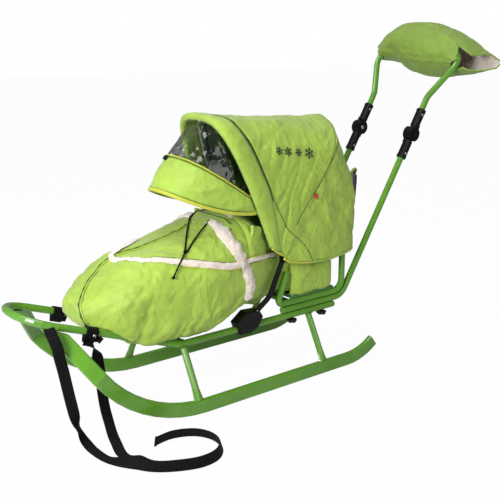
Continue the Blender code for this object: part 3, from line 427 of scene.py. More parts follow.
def route_through(points, spacing):
    """Even points along a smooth curve, spacing apart."""
    fine = [row[0] for row in refine_rows([[Vector(p)] for p in points], 16)]
    total = length_of(fine)
    count = max(2, round(total / spacing))
    result, walked, target = [fine[0]], 0.0, total / count
    for p, q in zip(fine, fine[1:]):
        length = (q - p).length
        while walked + length >= target and len(result) < count:
            result.append(p.lerp(q, (target - walked) / length))
            target += total / count
        walked += length
    return result + [fine[-1]]


def length_of(path):
    return sum((q - p).length for p, q in zip(path, path[1:]))


def side_route(points, side, spacing):
    """A route through layout points of the left side, mirrored for side -1."""
    return route_through([at(side * x, y, z) for x, y, z in points], spacing)


def way_at(path, k):
    """The direction of a path at its point k."""
    return (path[min(k + 1, len(path) - 1)] - path[max(k - 1, 0)]).normalized()


def turns(count):
    return [tau * k / count for k in range(count)]


def circle(axis, count):
    """Angles round an axis, each with its direction."""
    first = axis.orthogonal().normalized()
    second = axis.cross(first)
    return [(a, first * cos(a) + second * sin(a)) for a in turns(count)]


def tube_mesh(name, path, radius, sides=10, closed=False):
    rows = []
    normal = None
    count = len(path)
    for k in range(count):
        way = (path[(k + 1) % count] - path[k - 1]).normalized() if closed else way_at(path, k)
        normal = way.orthogonal() if normal is None else normal
        normal = (normal - way * normal.dot(way)).normalized()
        side = way.cross(normal)
        size = radius(k / (count - 1)) if callable(radius) else radius
        rows.append([path[k] + (normal * cos(a) + side * sin(a)) * size for a in turns(sides)])
    if not closed:
        return grid_mesh(name, rows, closed=True, caps=True)
    mesh = grid_mesh(name, rows + [rows[0]], closed=True)
    bm = bmesh.new()
    bm.from_mesh(mesh)
    bmesh.ops.remove_doubles(bm, verts=bm.verts, dist=1e-6)
    bm.to_mesh(mesh)
    bm.free()
    return mesh


STRAP_TOP = (0.93, 0.5, 0.0, -0.5, -0.93)
STRAP_SECTION = [(1.0, 0.0), *((a, 0.5) for a in STRAP_TOP), (-1.0, 0.0), *((-a, -0.5) for a in STRAP_TOP)]


def ribbon(name, path, acrosses, half_width, thick, mat, body="frame", nodes=()):
    """A strap: rounded edges, a given across direction at each point."""
    rows = []
    for k, (point, across) in enumerate(zip(path, acrosses)):
        way = way_at(path, k)
        across = (across - way * across.dot(way)).normalized()
        normal = way.cross(across)
        rows.append([point + across * a * half_width + normal * (b * thick) for a, b in STRAP_SECTION])
    return solid_piece(name, rows, mat, body, nodes)


def tree_of(*pieces):
    """One search tree over several pieces, modifiers included, in the row frame."""
    bpy.context.view_layer.update()
    depsgraph = bpy.context.evaluated_depsgraph_get()
    verts, faces = [], []
    for piece in pieces:
        shown = piece.evaluated_get(depsgraph)
        mesh = shown.to_mesh()
        base = len(verts)
        verts += [shown.matrix_world @ v.co for v in mesh.vertices]
        faces += [[base + i for i in f.vertices] for f in mesh.polygons]
        shown.to_mesh_clear()
    return BVHTree.FromPolygons(verts, faces)


def from_side(surface, y, z, side=1, lift=0.0):
    """The skin seen from one side at a layout y and z, and its normal."""
    hit, normal, _, _ = surface.ray_cast(at(side * 0.6, y, z), Vector((-side, 0, 0)))
    if hit is None:
        hit, normal, _, _ = surface.find_nearest(at(side * 0.15, y, z))
    return hit + normal * lift, normal


def interpolate(table, place):
    if place <= table[0][0]:
        return table[0][1:]
    for low, high in zip(table, table[1:]):
        if place <= high[0]:
            share = (place - low[0]) / (high[0] - low[0])
            return tuple(a + (b - a) * share for a, b in zip(low[1:], high[1:]))
    return table[-1][1:]


def soft_interpolate(table, place, reach):
    """Table values rounded off over a short reach."""
    found = [interpolate(table, place + reach * k / 3) for k in range(-3, 4)]
    return tuple(sum(v) / len(found) for v in zip(*found))


def ellipse_power(angle, power):
    c, s = cos(angle), sin(angle)
    return copysign(abs(c) ** power, c), copysign(abs(s) ** power, s)


def rail_height(y):
    return RAIL_Z + max(0.0, RAIL_SLOPE * (RAIL_BEND_Y - y))


add_camera()
add_studio()


# --- surfaces drawn as grids
def resample(points, count):
    """Even points along a smooth curve through given points."""
    length = length_of([Vector(p) for p in points])
    fine = route_through(points, length / (count * 3))
    total = length_of(fine)
    result, walked, k = [], 0.0, 0
    for n in range(count):
        target = total * n / (count - 1)
        while k < len(fine) - 2 and walked + (fine[k + 1] - fine[k]).length < target:
            walked += (fine[k + 1] - fine[k]).length
            k += 1
        span = (fine[k + 1] - fine[k]).length
        result.append(fine[k].lerp(fine[k + 1], min(1.0, (target - walked) / span if span else 0.0)))
    return result


def spline(a, b, c, d, t):
    """A smooth curve from b to c."""
    return 0.5 * (2 * b + (c - a) * t + (2 * a - 5 * b + 4 * c - d) * t * t + (3 * b - a - 3 * c + d) * t ** 3)


def refine_rows(rows, steps):
    """Smooth rows between the given rows, point by point."""
    before, after = ([a * 2 - b for a, b in zip(*pair)] for pair in ((rows[0], rows[1]), (rows[-1], rows[-2])))
    ends = [before] + rows + [after]
    return [[spline(*four, step / steps) for four in zip(*ends[k - 1:k + 3])]
            for k in range(1, len(ends) - 2) for step in range(steps)] + [rows[-1]]


def relief(rows, amount, outward, closed=False):
    """Move each grid point away from outward(place), by amount(row share, column share, place)."""
    tall, wide = len(rows), len(rows[0])
    moved = []
    for i, row in enumerate(rows):
        line = []
        for j, p in enumerate(row):
            up = rows[min(i + 1, tall - 1)][j] - rows[max(i - 1, 0)][j]
            ahead, behind = ((j + 1) % wide, j - 1) if closed else (min(j + 1, wide - 1), max(j - 1, 0))
            normal = (row[ahead] - row[behind]).cross(up)
            if normal.length < 1e-12:
                line.append(p.copy())
                continue
            normal.normalize()
            if normal.dot(p - outward(p)) < 0:
                normal = -normal
            line.append(p + normal * amount(i / (tall - 1), j / (wide - 1), p))
        moved.append(line)
    return moved


def to_frame(rows):
    return [[at(*p) for p in row] for row in rows]


def hood_middle(p):
    return Vector((0, -0.15 if p.y > -0.3 else -0.25, min(p.z, 0.62)))


def muff_middle(p):
    return Vector((0, p.y, 0.32))


def drawn_out(p, way, long, short, seed):
    """A soft fold pattern from about -1 to 1, drawn out along way."""
    return fold(p, way, long, short, seed) + 0.5 * fold(p, way, long / 2.3, short / 2.1, seed + 9.0)


def creases(p, way, long, short, seed):
    """Sharp-backed creases, from 0 to 1."""
    return (1.0 - min(1.0, abs(fold(p, way, long, short, seed)) * 2.2)) ** 2.5


# --- details that many pieces share
def dome(name, place, axis, radius, height, mat=STEEL, body="frame", hole=0.0):
    """A rivet head or eyelet: a turned profile with a rolled edge."""
    axis = Vector(axis).normalized()
    profile = [(1.0, 0.0), (1.0, 0.35), (0.93, 0.62), (0.75, 0.88), (0.5, 0.97)]
    profile += [(hole + 0.12, 1.0), (hole, 0.9), (hole, 0.1)] if hole else [(0.25, 1.0), (0.03, 1.01)]
    ring = circle(axis, 24)
    rows = [[place + out * (r * radius) + axis * (h * height) for _, out in ring] for r, h in profile]
    return solid_piece(name, rows, mat, body, caps=not hole)


def piping(name, path, radius, mat, body="frame", sides=8, closed=False, nodes=()):
    return new_piece(name, tube_mesh(name, path, radius, sides, closed), mat, body, nodes)


STITCH_PITCH, STITCH_LENGTH, STITCH_R = 0.0042, 0.0027, 0.00045


def stitching(name, path, normals, body="frame", aside=0.0):
    """A row of single stitches beside a line on a skin."""
    bm = bmesh.new()
    walked, target = 0.0, STITCH_PITCH / 2
    for p, q, normal in zip(path, path[1:], normals):
        step = (q - p).length
        while walked + step >= target:
            way = (q - p).normalized()
            normal = (normal - way * normal.dot(way)).normalized()
            side = way.cross(normal)
            centre = p.lerp(q, (target - walked) / step) + side * aside
            rings = [[bm.verts.new(centre + way * along * STITCH_LENGTH
                                   + (side * cos(a) + normal * sin(a)) * STITCH_R * size)
                      for a in turns(5)] for along, size in ((-0.5, 0.25), (-0.32, 1.0), (0.32, 1.0), (0.5, 0.25))]
            for row, following in zip(rings, rings[1:]):
                for j in range(5):
                    bm.faces.new((row[j], row[(j + 1) % 5], following[(j + 1) % 5], following[j]))
            target += STITCH_PITCH
        walked += step
    bmesh.ops.recalc_face_normals(bm, faces=bm.faces)
    return new_piece(name, mesh_from(bm, name), CLOTH_SMOOTH, body)


def seen(surface, px, py):
    """The place on a skin that the photograph shows at a pixel, or None."""
    way = CAMERA_RIGHT * (px - MIDDLE_PX) - CAMERA_UP * (py - MIDDLE_PX) - CAMERA_BACK * FOCAL_PX
    return surface.ray_cast(CAMERA_AT, way.normalized())[0]


def seen_places(surface, pixels, mirrored=False):
    """Places on a skin at pixels of the photograph; mirrored puts them on the far side."""
    found = [p for p in (seen(surface, *pixel) for pixel in pixels) if p is not None]
    return [Vector((-p.x, p.y, p.z)) for p in found] if mirrored else found


def smoothed(values):
    """Each value drawn towards its neighbours; the two ends are held."""
    return [values[0]] + [(a + b * 2 + c) / 4 for a, b, c in zip(values, values[1:], values[2:])] + [values[-1]]


def on_skin(surface, points, spacing, lift):
    """A smooth line on a skin, raised by lift, and the skin's normals along it."""
    path, normals = zip(*(surface.find_nearest(p)[:2] for p in route_through(points, spacing)))
    for _ in range(3):
        path, normals = smoothed(path), [n.normalized() for n in smoothed(normals)]
    return [p + n * lift for p, n in zip(path, normals)], normals


def beside(path, normals, aside, lift, upward=False):
    """A line moved to its side along the skin (upward: to its upper side) and off it by lift."""
    moved = []
    for k, (p, n) in enumerate(zip(path, normals)):
        out = n.cross(way_at(path, k))
        moved.append(p + (-out if upward and out.z < 0 else out) * aside + n * lift)
    return moved


def band(name, path, normals, half_width, thick, mat, crown=0.0, rough=0.0):
    """A flat or crowned strip that lies on a skin, with an uneven pile where rough is given."""
    rows = []
    for k, (point, normal) in enumerate(zip(path, normals)):
        share = k / (len(path) - 1)
        way = way_at(path, k)
        across = normal.cross(way)
        across = (across - way * across.dot(way)).normalized()
        normal = way.cross(across)
        width = half_width(share) if callable(half_width) else half_width
        end = min(1.0, share * 14 + 0.35, (1 - share) * 14 + 0.35)
        row = []
        for a in (cos(pi * j / 12) for j in range(13)):
            edge = width * (1 + rough * 90 * noise.noise(point * 110 + Vector((a * 3, 0, 0))))
            high = (thick * 0.5 + crown * (1 - a * a)) * end
            place = point + across * a * edge + normal * high
            row.append(place + normal * rough * noise.noise(place * 190) * 1.6)
        row += [point - across * cos(pi * j / 6) * width * 0.9 - normal * thick * 0.5 for j in range(1, 6)]
        rows.append(row)
    solid_piece(name, rows, mat, "frame")


# --- tow straps and drawcords
# layout places, from the sled to the end in the coil
STRAP_LEFT_LEAD = ((0.116, -0.938, 0.313), (0.128, -0.9385, 0.303), (0.138, -0.9365, 0.29))
STRAP_RIGHT_LEAD = ((0.0975, -0.84, 0.249), (0.103, -0.833, 0.247))
STRAP_LEFT_ROUTE = (
    (0.147, -0.932, 0.268), (0.15, -0.93, 0.245), (0.15, -0.922, 0.205), (0.148, -0.91, 0.138),
    (0.145, -0.896, 0.07), (0.145, -0.884, 0.026), (0.162, -0.876, 0.0036), (0.205, -0.877, 0.0012),
    (0.262, -0.87, 0.0012), (0.325, -0.845, 0.0012), (0.375, -0.812, 0.0012), (0.41, -0.76, 0.0012),
    (0.428, -0.704, 0.0012), (0.418, -0.652, 0.0012), (0.378, -0.618, 0.0012), (0.33, -0.615, 0.0012),
    (0.29, -0.64, 0.0012), (0.268, -0.69, 0.0012), (0.272, -0.742, 0.0012),
)
STRAP_RIGHT_ROUTE = (
    (0.114, -0.822, 0.238), (0.12, -0.816, 0.215), (0.128, -0.814, 0.18), (0.129, -0.812, 0.125),
    (0.13, -0.806, 0.07), (0.136, -0.8, 0.03), (0.16, -0.804, 0.0072), (0.205, -0.817, 0.0034),
    (0.262, -0.832, 0.0034), (0.318, -0.826, 0.0034), (0.3742, -0.8094, 0.0012), (0.4078, -0.7584, 0.0012),
    (0.4253, -0.7043, 0.0012), (0.4159, -0.6537, 0.0012), (0.3771, -0.6205, 0.0012), (0.3304, -0.6177, 0.0012),
    (0.2916, -0.6421, 0.0012), (0.2706, -0.6907, 0.0012), (0.2745, -0.741, 0.0012),
)


def eased(value, low, high):
    share = clamp((value - low) / (high - low))
    return share * share * (3 - 2 * share)


def tow_strap(name, lead, route, lead_across, turn, stand, twist=0.0):
    """A strap that leaves the sled on edge, reaches the floor, and stands on its edge where it curves there."""
    path = route_through([at(*p) for p in lead + route], 0.01)
    start = length_of(route_through([at(*p) for p in lead + route[:1]], 0.01))
    lifted, acrosses, walked = [], [], 0.0
    up, lead_across = Vector((0, 0, 1)), Vector(lead_across)
    for k, point in enumerate(path):
        walked += (point - path[k - 1]).length if k else 0.0
        way = way_at(path, k)
        flat = up.cross(way)
        across = lead_across.lerp(flat.normalized() if flat.length > 0.05 else lead_across,
                                  eased(walked - start, *turn))
        rise = eased(walked - start, *stand) * radians(76 + 5 * sin(walked * 13))
        across = across * cos(rise) + up * sin(rise)
        if twist:
            across = Matrix.Rotation(pi * (1 - eased(walked, 0.0, twist)), 3, way) @ across
        acrosses.append(across)
        height = STRAP_WIDTH / 2 * across.normalized().z if across.z > 0 and point.z < 0.03 else 0.0
        lifted.append(point + up * height * eased(-point.z, -0.03, -0.006))
    return ribbon(name + "_webbing", lifted, acrosses, STRAP_WIDTH / 2, STRAP_THICK, WEBBING, nodes=[name]), lifted


def add_tow_straps():
    left, left_path = tow_strap("tow_strap_left", STRAP_LEFT_LEAD, STRAP_LEFT_ROUTE, (0.35, 0.93, 0.0),
                                (0.14, 0.3), (0.36, 0.48))
    right, right_path = tow_strap("tow_strap_right", STRAP_RIGHT_LEAD, STRAP_RIGHT_ROUTE, (0.05, 1.0, 0.0),
                                  (0.2, 0.34), (0.36, 0.46), 0.075)
    end = [left_path[-1] + Vector(step) for step in ((0, 0, 0), (0.0006, -0.003, 0), (0.0014, -0.0042, 0))]
    turn_path = route_through(end + [right_path[-1] + Vector((0.0001, -0.0032, 0)), right_path[-1]], 0.0008)
    turned = ribbon("strap_fold", turn_path, [Vector((0.1, 0.1, 1))] * len(turn_path), STRAP_WIDTH / 2, 0.0014, WEBBING)


MUFF_SECTIONS = (
    # y, half width, top z, bottom z, squareness of the lower half
    (-0.828, 0.052, 0.32, 0.286, 0.7), (-0.82, 0.066, 0.333, 0.271, 0.7), (-0.8, 0.079, 0.345, 0.255, 0.6),
    (-0.784, 0.094, 0.356, 0.246, 0.5), (-0.76, 0.115, 0.372, 0.238, 0.42), (-0.73, 0.131, 0.391, 0.223, 0.36),
    (-0.705, 0.139, 0.407, 0.206, 0.34), (-0.68, 0.143, 0.421, 0.198, 0.34), (-0.65, 0.149, 0.428, 0.195, 0.34),
    (-0.62, 0.153, 0.434, 0.197, 0.34), (-0.59, 0.156, 0.438, 0.1965, 0.34), (-0.554, 0.158, 0.447, 0.1912, 0.32),
    (-0.5, 0.16, 0.464, 0.1945, 0.3), (-0.43, 0.159, 0.486, 0.211, 0.32), (-0.4, 0.157, 0.493, 0.228, 0.34),
    (-0.38, 0.154, 0.496, 0.237, 0.36), (-0.336, 0.148, 0.5, 0.242, 0.4),
)


def muff_point(y, angle, inset=0.0, rounded=0.006):
    """A point of the footmuff's skin; angle 0 is the left side, a quarter turn is the top."""
    section = soft_interpolate(MUFF_SECTIONS, y, rounded) if rounded else interpolate(MUFF_SECTIONS, y)
    width, top, bottom, square = section
    if inset:
        bottom = max(bottom, rail_height(y) + TUBE_R)
    centre, half = (top + bottom) / 2, (top - bottom) / 2 - inset
    c, s = ellipse_power(angle, 0.78 if sin(angle) > 0 else square)
    return Vector(((width - inset) * c, y, centre + half * s))


def muff_route(rows, lift):
    points = []
    for y, degrees in rows:
        angle = radians(degrees)
        here = muff_point(y, angle, rounded=0)
        along = muff_point(y, angle + 0.02, rounded=0) - muff_point(y, angle - 0.02, rounded=0)
        normal = Vector((0, 1, 0)).cross(along).normalized()
        if normal.dot(here - muff_point(y, angle + pi, rounded=0)) < 0:
            normal = -normal
        points.append(at(*(here + normal * lift)))
    return points


# y and degrees round the foot bag, from its left side over its top
DRAWCORD_LONG = ((-0.388, 106), (-0.425, 97), (-0.462, 88), (-0.504, 72), (-0.532, 57), (-0.546, 50),
                 (-0.574, 39), (-0.602, 26))
DRAWCORD_SHORT = ((-0.412, 79), (-0.436, 74), (-0.462, 69), (-0.5, 61), (-0.533, 52))


def knot(name, place, way, size):
    """Two interlocked turns of cord pulled tight."""
    way = way.normalized()
    loops = [place + way * (size * 0.55 * sin(2 * t)) + out * (size * (0.62 + 0.25 * cos(3 * t)))
             for t, out in circle(way, 48)]
    return piping(name, loops, size * 0.42, WEBBING, closed=True)


def add_drawcords():
    cords, paths = [], []
    for word, rows in (("long", DRAWCORD_LONG), ("short", DRAWCORD_SHORT)):
        paths.append(route_through(muff_route(rows, CORD_R + 0.0035), 0.004))
        cords.append(piping(f"drawcord_{word}_braid", paths[-1], lambda s: CORD_R * (1 + 0.06 * sin(s * 400)), WEBBING,
                            "frame", 10, nodes=["drawcord_" + word]))
    long_path, short_path = paths
    junction = min(long_path, key=lambda p: (p - short_path[-1]).length)
    joining = knot("drawcord_knot", junction.lerp(short_path[-1], 0.3), long_path[-1] - junction, 0.0052)
    tail = knot("drawcord_tail_knot", long_path[-2], long_path[-1] - long_path[-4], 0.004)
    for cord, path, far_end, end, word in zip(cords, paths, ("knot", "object"), (tail, joining), ("far", "near")):
        up = (path[0] - at(0, path[0].y - SHIFT, 0.36)).normalized()
        dome("drawcord_eyelet_" + word, path[0] - up * 0.0065, up, 0.0068, 0.0022, PLASTIC, hole=0.38)


# --- frame: better materials, fasteners
def both(*names):
    return [f"{name}_{word}" for name in names for _, word in SIDES]


def dress_frame():
    finish = {
        PAINT: ["seat_rail_tube", "backrest_tube", "cross_tube_front", "cross_tube_rear", "handle_tube",
                *both("runner", "leg_front", "leg_rear", "pusher_tube")],
        PLASTIC: ["hood_front_bow", "hood_rear_bow", "visor_snap",
                  *both("upper_socket", "lower_socket", "lock_button", "canopy_clamp", "canopy_stay", "hood_hub",
                        "rail_end_plug", "clamp_knob_front", "clamp_knob_rear")],
        WEBBING: both("webbing_loop"),
        BOARD: ["seat_board"],
    }
    for mat, names in finish.items():
        for node in (NODES[name] for name in names):
            piece = bpy.data.objects[node] if isinstance(node, str) else node
            for slot in piece.material_slots:
                slot.material = mat


def add_fasteners():
    for side, word in SIDES:
        hub, out = at(side * HUB.x, HUB.y, HUB.z), Vector((side, 0, 0))
        for label, body, hand in (("upper", "handle", 1), ("lower", "frame", -1)):
            centre = hub + PUSHER_DIR * (SOCKET_REACH - 0.017) * hand
            reach = out * (SOCKET_WIDTH / 2 - SUNK)
            dome(f"socket_rivet_{label}_{word}", centre + reach, out, 0.0042, 0.0018, STEEL, body)
            dome(f"socket_rivet_{label}_{word}_inner", centre - reach, -out, 0.0036, 0.0014, STEEL, body)
        dome(f"hub_rivet_{word}", hub - out * (HUB_HALF - SUNK), -out, 0.0065, 0.0022)
        dome(f"button_mark_{word}", hub + out * (HUB_HALF + 0.0026), out, 0.0056, 0.0006, PLASTIC,
             f"lock_button_{word}", hole=0.55)
        dome(f"loop_eyelet_{word}", at(side * 0.1099, -0.815, 0.2625), (side, -0.1, -0.12), 0.0046, 0.0018, hole=0.45)
        dome(f"stay_rivet_{word}", at(side * 0.1312, -0.309, 0.2245), out, 0.0046, 0.0018)
        dome(f"clamp_rivet_{word}", at(side * 0.134, -0.338, 0.196), out, 0.0052, 0.0016, PLASTIC)
        for y, spot in ((-0.165, "front"), (-0.045, "rear")):
            dome(f"knob_bolt_{spot}_{word}", at(side * RAIL_X, y, 0.2418 - SUNK), (0, 0, 1), 0.0055, 0.0022)
        route = side_route(((0.0935, -0.806, 0.248), (0.1, -0.799, 0.2475), (0.1045, -0.793, 0.242)), side, 0.003)
        ribbon("loop_tab_" + word, route, [Vector((side * 0.15, 0.5, 1))] * len(route), 0.0085, 0.004, WEBBING)


def add_welds():
    """A fillet of weld where each bar meets the next."""
    for side, _ in SIDES:
        for y in (-0.554, -0.1):
            top = at(side * RAIL_X, y, RAIL_Z - TUBE_R * 0.4)
            way = (at(side * 0.19, y - 0.002, 0.0415) - top).normalized()
            for word, place, axis, radius in (
                    ("leg", top + way * 0.0078, way, 0.0104),
                    ("bar", at(side * (RAIL_X - 0.01), y, RAIL_Z), Vector((1, 0, 0)), 0.0098)):
                ring = [place + out * (radius + 0.0004 * sin(a * 11)) for a, out in circle(axis, 40)]
                piping(f"weld_{word}_{side}_{y}".replace("-", "m"), ring, 0.0014, PAINT, sides=6, closed=True)


# --- footmuff
def cutter_of(name, rows):
    return link_object(name, grid_mesh(name, rows, closed=True, caps=True))


def rail_channel(side):
    """A cutter for the groove in which the seat rail lies in the foot bag."""
    line = [(RAIL_X, -0.44, RAIL_Z), (RAIL_X, -0.52, RAIL_Z), (RAIL_X, RAIL_BEND_Y, RAIL_Z + 0.0007)]
    line += [(x, y, rail_height(y)) for x, y in ((0.1118, -0.615), (0.105, -0.69), (0.0985, -0.765),
                                                 (NOSE_X, -0.8), (NOSE_X, -0.87))]
    path = side_route(line, side, 0.012)
    radius = TUBE_R + 0.0009
    outline = [(radius * cos(pi * k / 8), radius * sin(pi * k / 8)) for k in range(9)]
    outline += [(-radius, -0.08), (radius, -0.08)]
    across = Vector((1, 0, 0))
    rows = []
    for k, point in enumerate(path):
        up = across.cross(way_at(path, k))
        up = -up if up.z < 0 else up
        rows.append([point + across * a + up * b for a, b in outline])
    return cutter_of("rail_channel", rows)


def cut_away(piece, *cutters):
    for cutter in cutters:
        modifier = piece.modifiers.new("cut", "BOOLEAN")
        modifier.operation = "DIFFERENCE"
        modifier.object = cutter
        modifier.solver = "EXACT"
    apply_modifiers(piece)
    for cutter in cutters:
        bpy.data.objects.remove(cutter)
    return piece


def muff_relief(row, column, p):
    """Padded swells, sideways creases over the top, and gathers where the cloth droops."""
    high = clamp((p.z - 0.3) / 0.12)
    low = 1.0 - high
    front = clamp((-0.7 - p.y) / 0.1)
    value = 0.004 * drawn_out(p, (0.35, 0.75, 0.5), 0.21, 0.06, 4.0)
    value += 0.003 * high * creases(p, (0.8, 0.5, 0.1), 0.14, 0.03, 7.0)
    value -= 0.006 * low * (1 - front) * creases(p, (0.1, 0.55, 0.85), 0.16, 0.042, 12.0)
    value -= 0.003 * creases(p, (0.5, -0.6, 0.6), 0.12, 0.034, 17.0)
    value += 0.0014 * noise.noise(p * 55)
    if p.z > 0.4:
        value -= 0.003 * exp(-(p.x / 0.01) ** 2)
    return min(value, 0.0042)


def dress(piece, mats, sharp_degrees=None):
    """Only these materials, smooth shading, and edges kept sharp beyond an angle."""
    piece.data.materials.clear()
    for mat in mats:
        piece.data.materials.append(mat)
    piece.data.shade_smooth()
    if sharp_degrees:
        piece.data.set_sharp_from_angle(angle=radians(sharp_degrees))


def build_footmuff():
    angles = [tau * (k + 0.5) / 132 for k in range(132)]
    stations = [-0.828 + 0.492 * (k / 74) ** 1.12 for k in range(75)]
    outer = [[muff_point(y, a) for a in angles] for y in stations]
    outer = relief(outer, muff_relief, closed=True, outward=muff_middle)
    rim = [[p.lerp(Vector((0, p.y, 0.37)), 0.03) + Vector((0, 0.004, 0)) for p in outer[-1]]]
    inner = [[muff_point(y, a, 0.012) for a in angles] for y in reversed(stations[6:])]
    inner = relief(inner, lambda i, j, p: 0.0015 * noise.noise(p * 40), closed=True, outward=muff_middle)
    piece = solid_piece("footmuff_quilt", to_frame(outer + rim + inner), CLOTH)
    cut_away(piece, rail_channel(1), rail_channel(-1))
    dress(piece, (CLOTH, CUSHION), 50)
    settle(piece, "frame", ["footmuff"])
    return piece


COLLAR_RINGS = (
    # y, half width, top z, bottom z
    (-0.352, 0.1515, 0.5035, 0.262), (-0.34, 0.152, 0.507, 0.262), (-0.322, 0.148, 0.505, 0.264),
    (-0.304, 0.142, 0.496, 0.268), (-0.286, 0.134, 0.483, 0.274), (-0.27, 0.125, 0.468, 0.282),
)


def build_collar():
    """The cased hem at the mouth of the foot bag, drawn in behind the fleece cuff."""
    rows = []
    for y, width, top, low in COLLAR_RINGS:
        centre = (top + low) / 2
        ring = []
        for k in range(61):
            angle = radians(-62 + 304 * k / 60)
            c, s = ellipse_power(angle, 0.72 if sin(angle) > 0 else 0.45)
            ring.append(Vector((width * c, y, centre + (top - centre) * s)))
        rows.append(resample(ring, 130))

    def amount(i, j, p):
        gather = noise.noise(Vector((j * 34, i * 1.6, 3.0))) + 0.6 * noise.noise(Vector((j * 70, i * 2.5, 8.0)))
        return clamp(0.0032 * gather * (0.3 + 0.7 * i), -0.003, 0.0032)

    rows = relief(refine_rows(rows, 6), amount, outward=muff_middle)
    piece = cloth_piece("footmuff_collar", to_frame(rows), [CLOTH, CUSHION], 0.003, "frame")
    return piece


# pixels of the photograph
ZIP_PIXELS = ((187, 225), (169, 235.5), (151, 243), (130, 250.5), (109, 259), (96, 272), (85, 289), (80.5, 300),
              (79.5, 309), (82, 318), (87, 325))
FLEECE_FAR = ((133, 243.0), (126, 246.5), (118, 251.0), (111.5, 255.5))
FLEECE_THIN = ((112, 259.2), (119, 260.5), (138, 260.3), (158.6, 260.5), (178, 262.3), (198, 264), (214, 265.5),
               (229, 266.3), (243, 264))
FLEECE_THIN_REAR = ((246, 262), (254, 259.2), (265, 256.4), (275, 254.4))
FLEECE_WIDE = ((209, 222), (217.9, 227.6), (225.8, 237.4), (234.7, 247.8), (241.6, 259.2), (247, 272),
               (250, 284.9), (246.5, 300), (243.8, 311))


def build_muff_trims(*pieces):
    skin = tree_of(*pieces)
    zip_line = on_skin(skin, seen_places(skin, ZIP_PIXELS), 0.006, 0.0012)
    band("footmuff_zip_tape", *zip_line, 0.0065, 0.001, CLOTH_SMOOTH, crown=0.0012)
    piping("footmuff_zip_chain", beside(*zip_line, 0.0, 0.0022), lambda s: 0.0016 + 0.0005 * sin(s * 900), SEAM_PAINTED_SHADE)
    piping("footmuff_zip_piping", beside(*zip_line, 0.0052, 0.0014), 0.0012, PIPING)
    stitching("footmuff_zip_stitches", beside(*zip_line, -0.0048, 0.0014), zip_line[1])
    near, far = (seen_places(skin, FLEECE_THIN, mirrored) for mirrored in (False, True))
    turn = seen_places(skin, FLEECE_FAR)
    far = [p for p in far if p.y > turn[0].y + 0.03]
    front = on_skin(skin, far[::-1] + turn + near, 0.006, 0.0016)
    band("fleece_line_front", *front, 0.0095, 0.002, FLEECE, crown=0.0036, rough=0.0022)
    # A thin line of painted shade beside the fleece band
    piping("fleece_line_front_seam", beside(*front, 0.0106, 0.0004), 0.0009, SEAM_PAINTED_SHADE, sides=6)
    count = len(front[0])
    for keep, word in ((slice(0, count // 4), "right"), (slice(3 * count // 4, None), "left")):
        piping("fleece_line_front_piping_" + word, beside(*front, -0.0106, 0.0012)[keep], 0.0013, PIPING)
    for side, word in SIDES:
        rear, wide = (on_skin(skin, seen_places(skin, pixels, side < 0), 0.006, lift)
                      for pixels, lift in ((FLEECE_THIN_REAR, 0.0016), (FLEECE_WIDE, 0.0018)))
        band("fleece_line_rear_" + word, *rear, 0.0068, 0.002, FLEECE, crown=0.003, rough=0.002)
        band("fleece_cuff_" + word, *wide, lambda s: 0.0205 - 0.0065 * max(0.0, 1 - s * 5) - 0.004 * s, 0.0024,
             FLEECE, crown=0.0062, rough=0.0034)
        piping("fleece_rear_piping_" + word, beside(*rear, 0.0082, 0.0012, True), 0.0013, PIPING)
        piping("fleece_rear_seam_" + word, beside(*rear, -0.0088, 0.0004, True), 0.0009, SEAM_PAINTED_SHADE, sides=6)
    places = [at(x, -0.352 - 0.05 * abs(x), 0.52) for x in (-0.085, -0.05, -0.02, 0.01, 0.04, 0.075)]
    band("fleece_cuff_top", *on_skin(skin, places, 0.006, 0.0016), 0.0115, 0.0024, FLEECE, crown=0.004, rough=0.0016)
    places = [at(x, -0.378 + 0.1 * x * x, 0.52) for x in (-0.115, -0.07, -0.02, 0.03, 0.08, 0.115)]
    # The casing seam is a dark line of painted shade below the hem
    piping("footmuff_casing_seam", on_skin(skin, places, 0.006, 0.001)[0], 0.0011, SEAM_PAINTED_SHADE, sides=6)


# --- seat and back
LINER_RINGS = (
    # y, half width above, half width below, bottom z, top z
    (-0.335, 0.147, 0.094, 0.243, 0.486), (-0.316, 0.141, 0.094, 0.228, 0.48), (-0.296, 0.131, 0.094, 0.22, 0.472),
    (-0.28, 0.12, 0.1, 0.218, 0.466), (-0.262, 0.11, 0.104, 0.216, 0.46), (-0.212, 0.1035, 0.1035, 0.2436, 0.446),
    (-0.18, 0.1035, 0.1035, 0.2436, 0.44), (-0.165, 0.1205, 0.1205, 0.2436, 0.436),
    (-0.1, 0.1225, 0.1225, 0.2436, 0.43), (-0.04, 0.1225, 0.1225, 0.2436, 0.43),
    (-0.012, 0.12, 0.12, 0.2436, 0.436),
)


def half_ring(y_of, half, low, high, power, steps, count):
    """A U-shaped row: down one side, round the bottom and up the other; half and y follow the height."""
    ring = []
    for k in range(steps + 1):
        c, s = ellipse_power(pi * (1 + k / steps), power)
        z = high + (high - low) * s
        ring.append(Vector((half(z) * c, y_of(z), z)))
    return resample(ring, count)


def build_liner():
    rows = [half_ring(lambda z: y, lambda z: half if z > 0.262 else pinch, low, high,
                      0.42 if y < -0.17 else 0.26, 32, 90)
            for y, half, pinch, low, high in LINER_RINGS]

    def amount(i, j, p):
        side = clamp((p.z - 0.262) / 0.03)
        value = 0.004 * side * drawn_out(p, (0.0, 0.75, 0.55), 0.12, 0.03, 21.0)
        value -= 0.0036 * side * creases(p, (0, 0.35, 0.9), 0.12, 0.026, 25.0)
        return min(value, 0.0012)

    rows = relief(refine_rows(rows, 7), amount, outward=lambda p: Vector((0, p.y, 0.4)))
    piece = cloth_piece("seat_quilt", to_frame(rows), [CLOTH, CUSHION], 0.0095, "frame", ["seat_liner"])
    return piece


PAD_CENTRE = at(0, 0.0075, 0.4455)


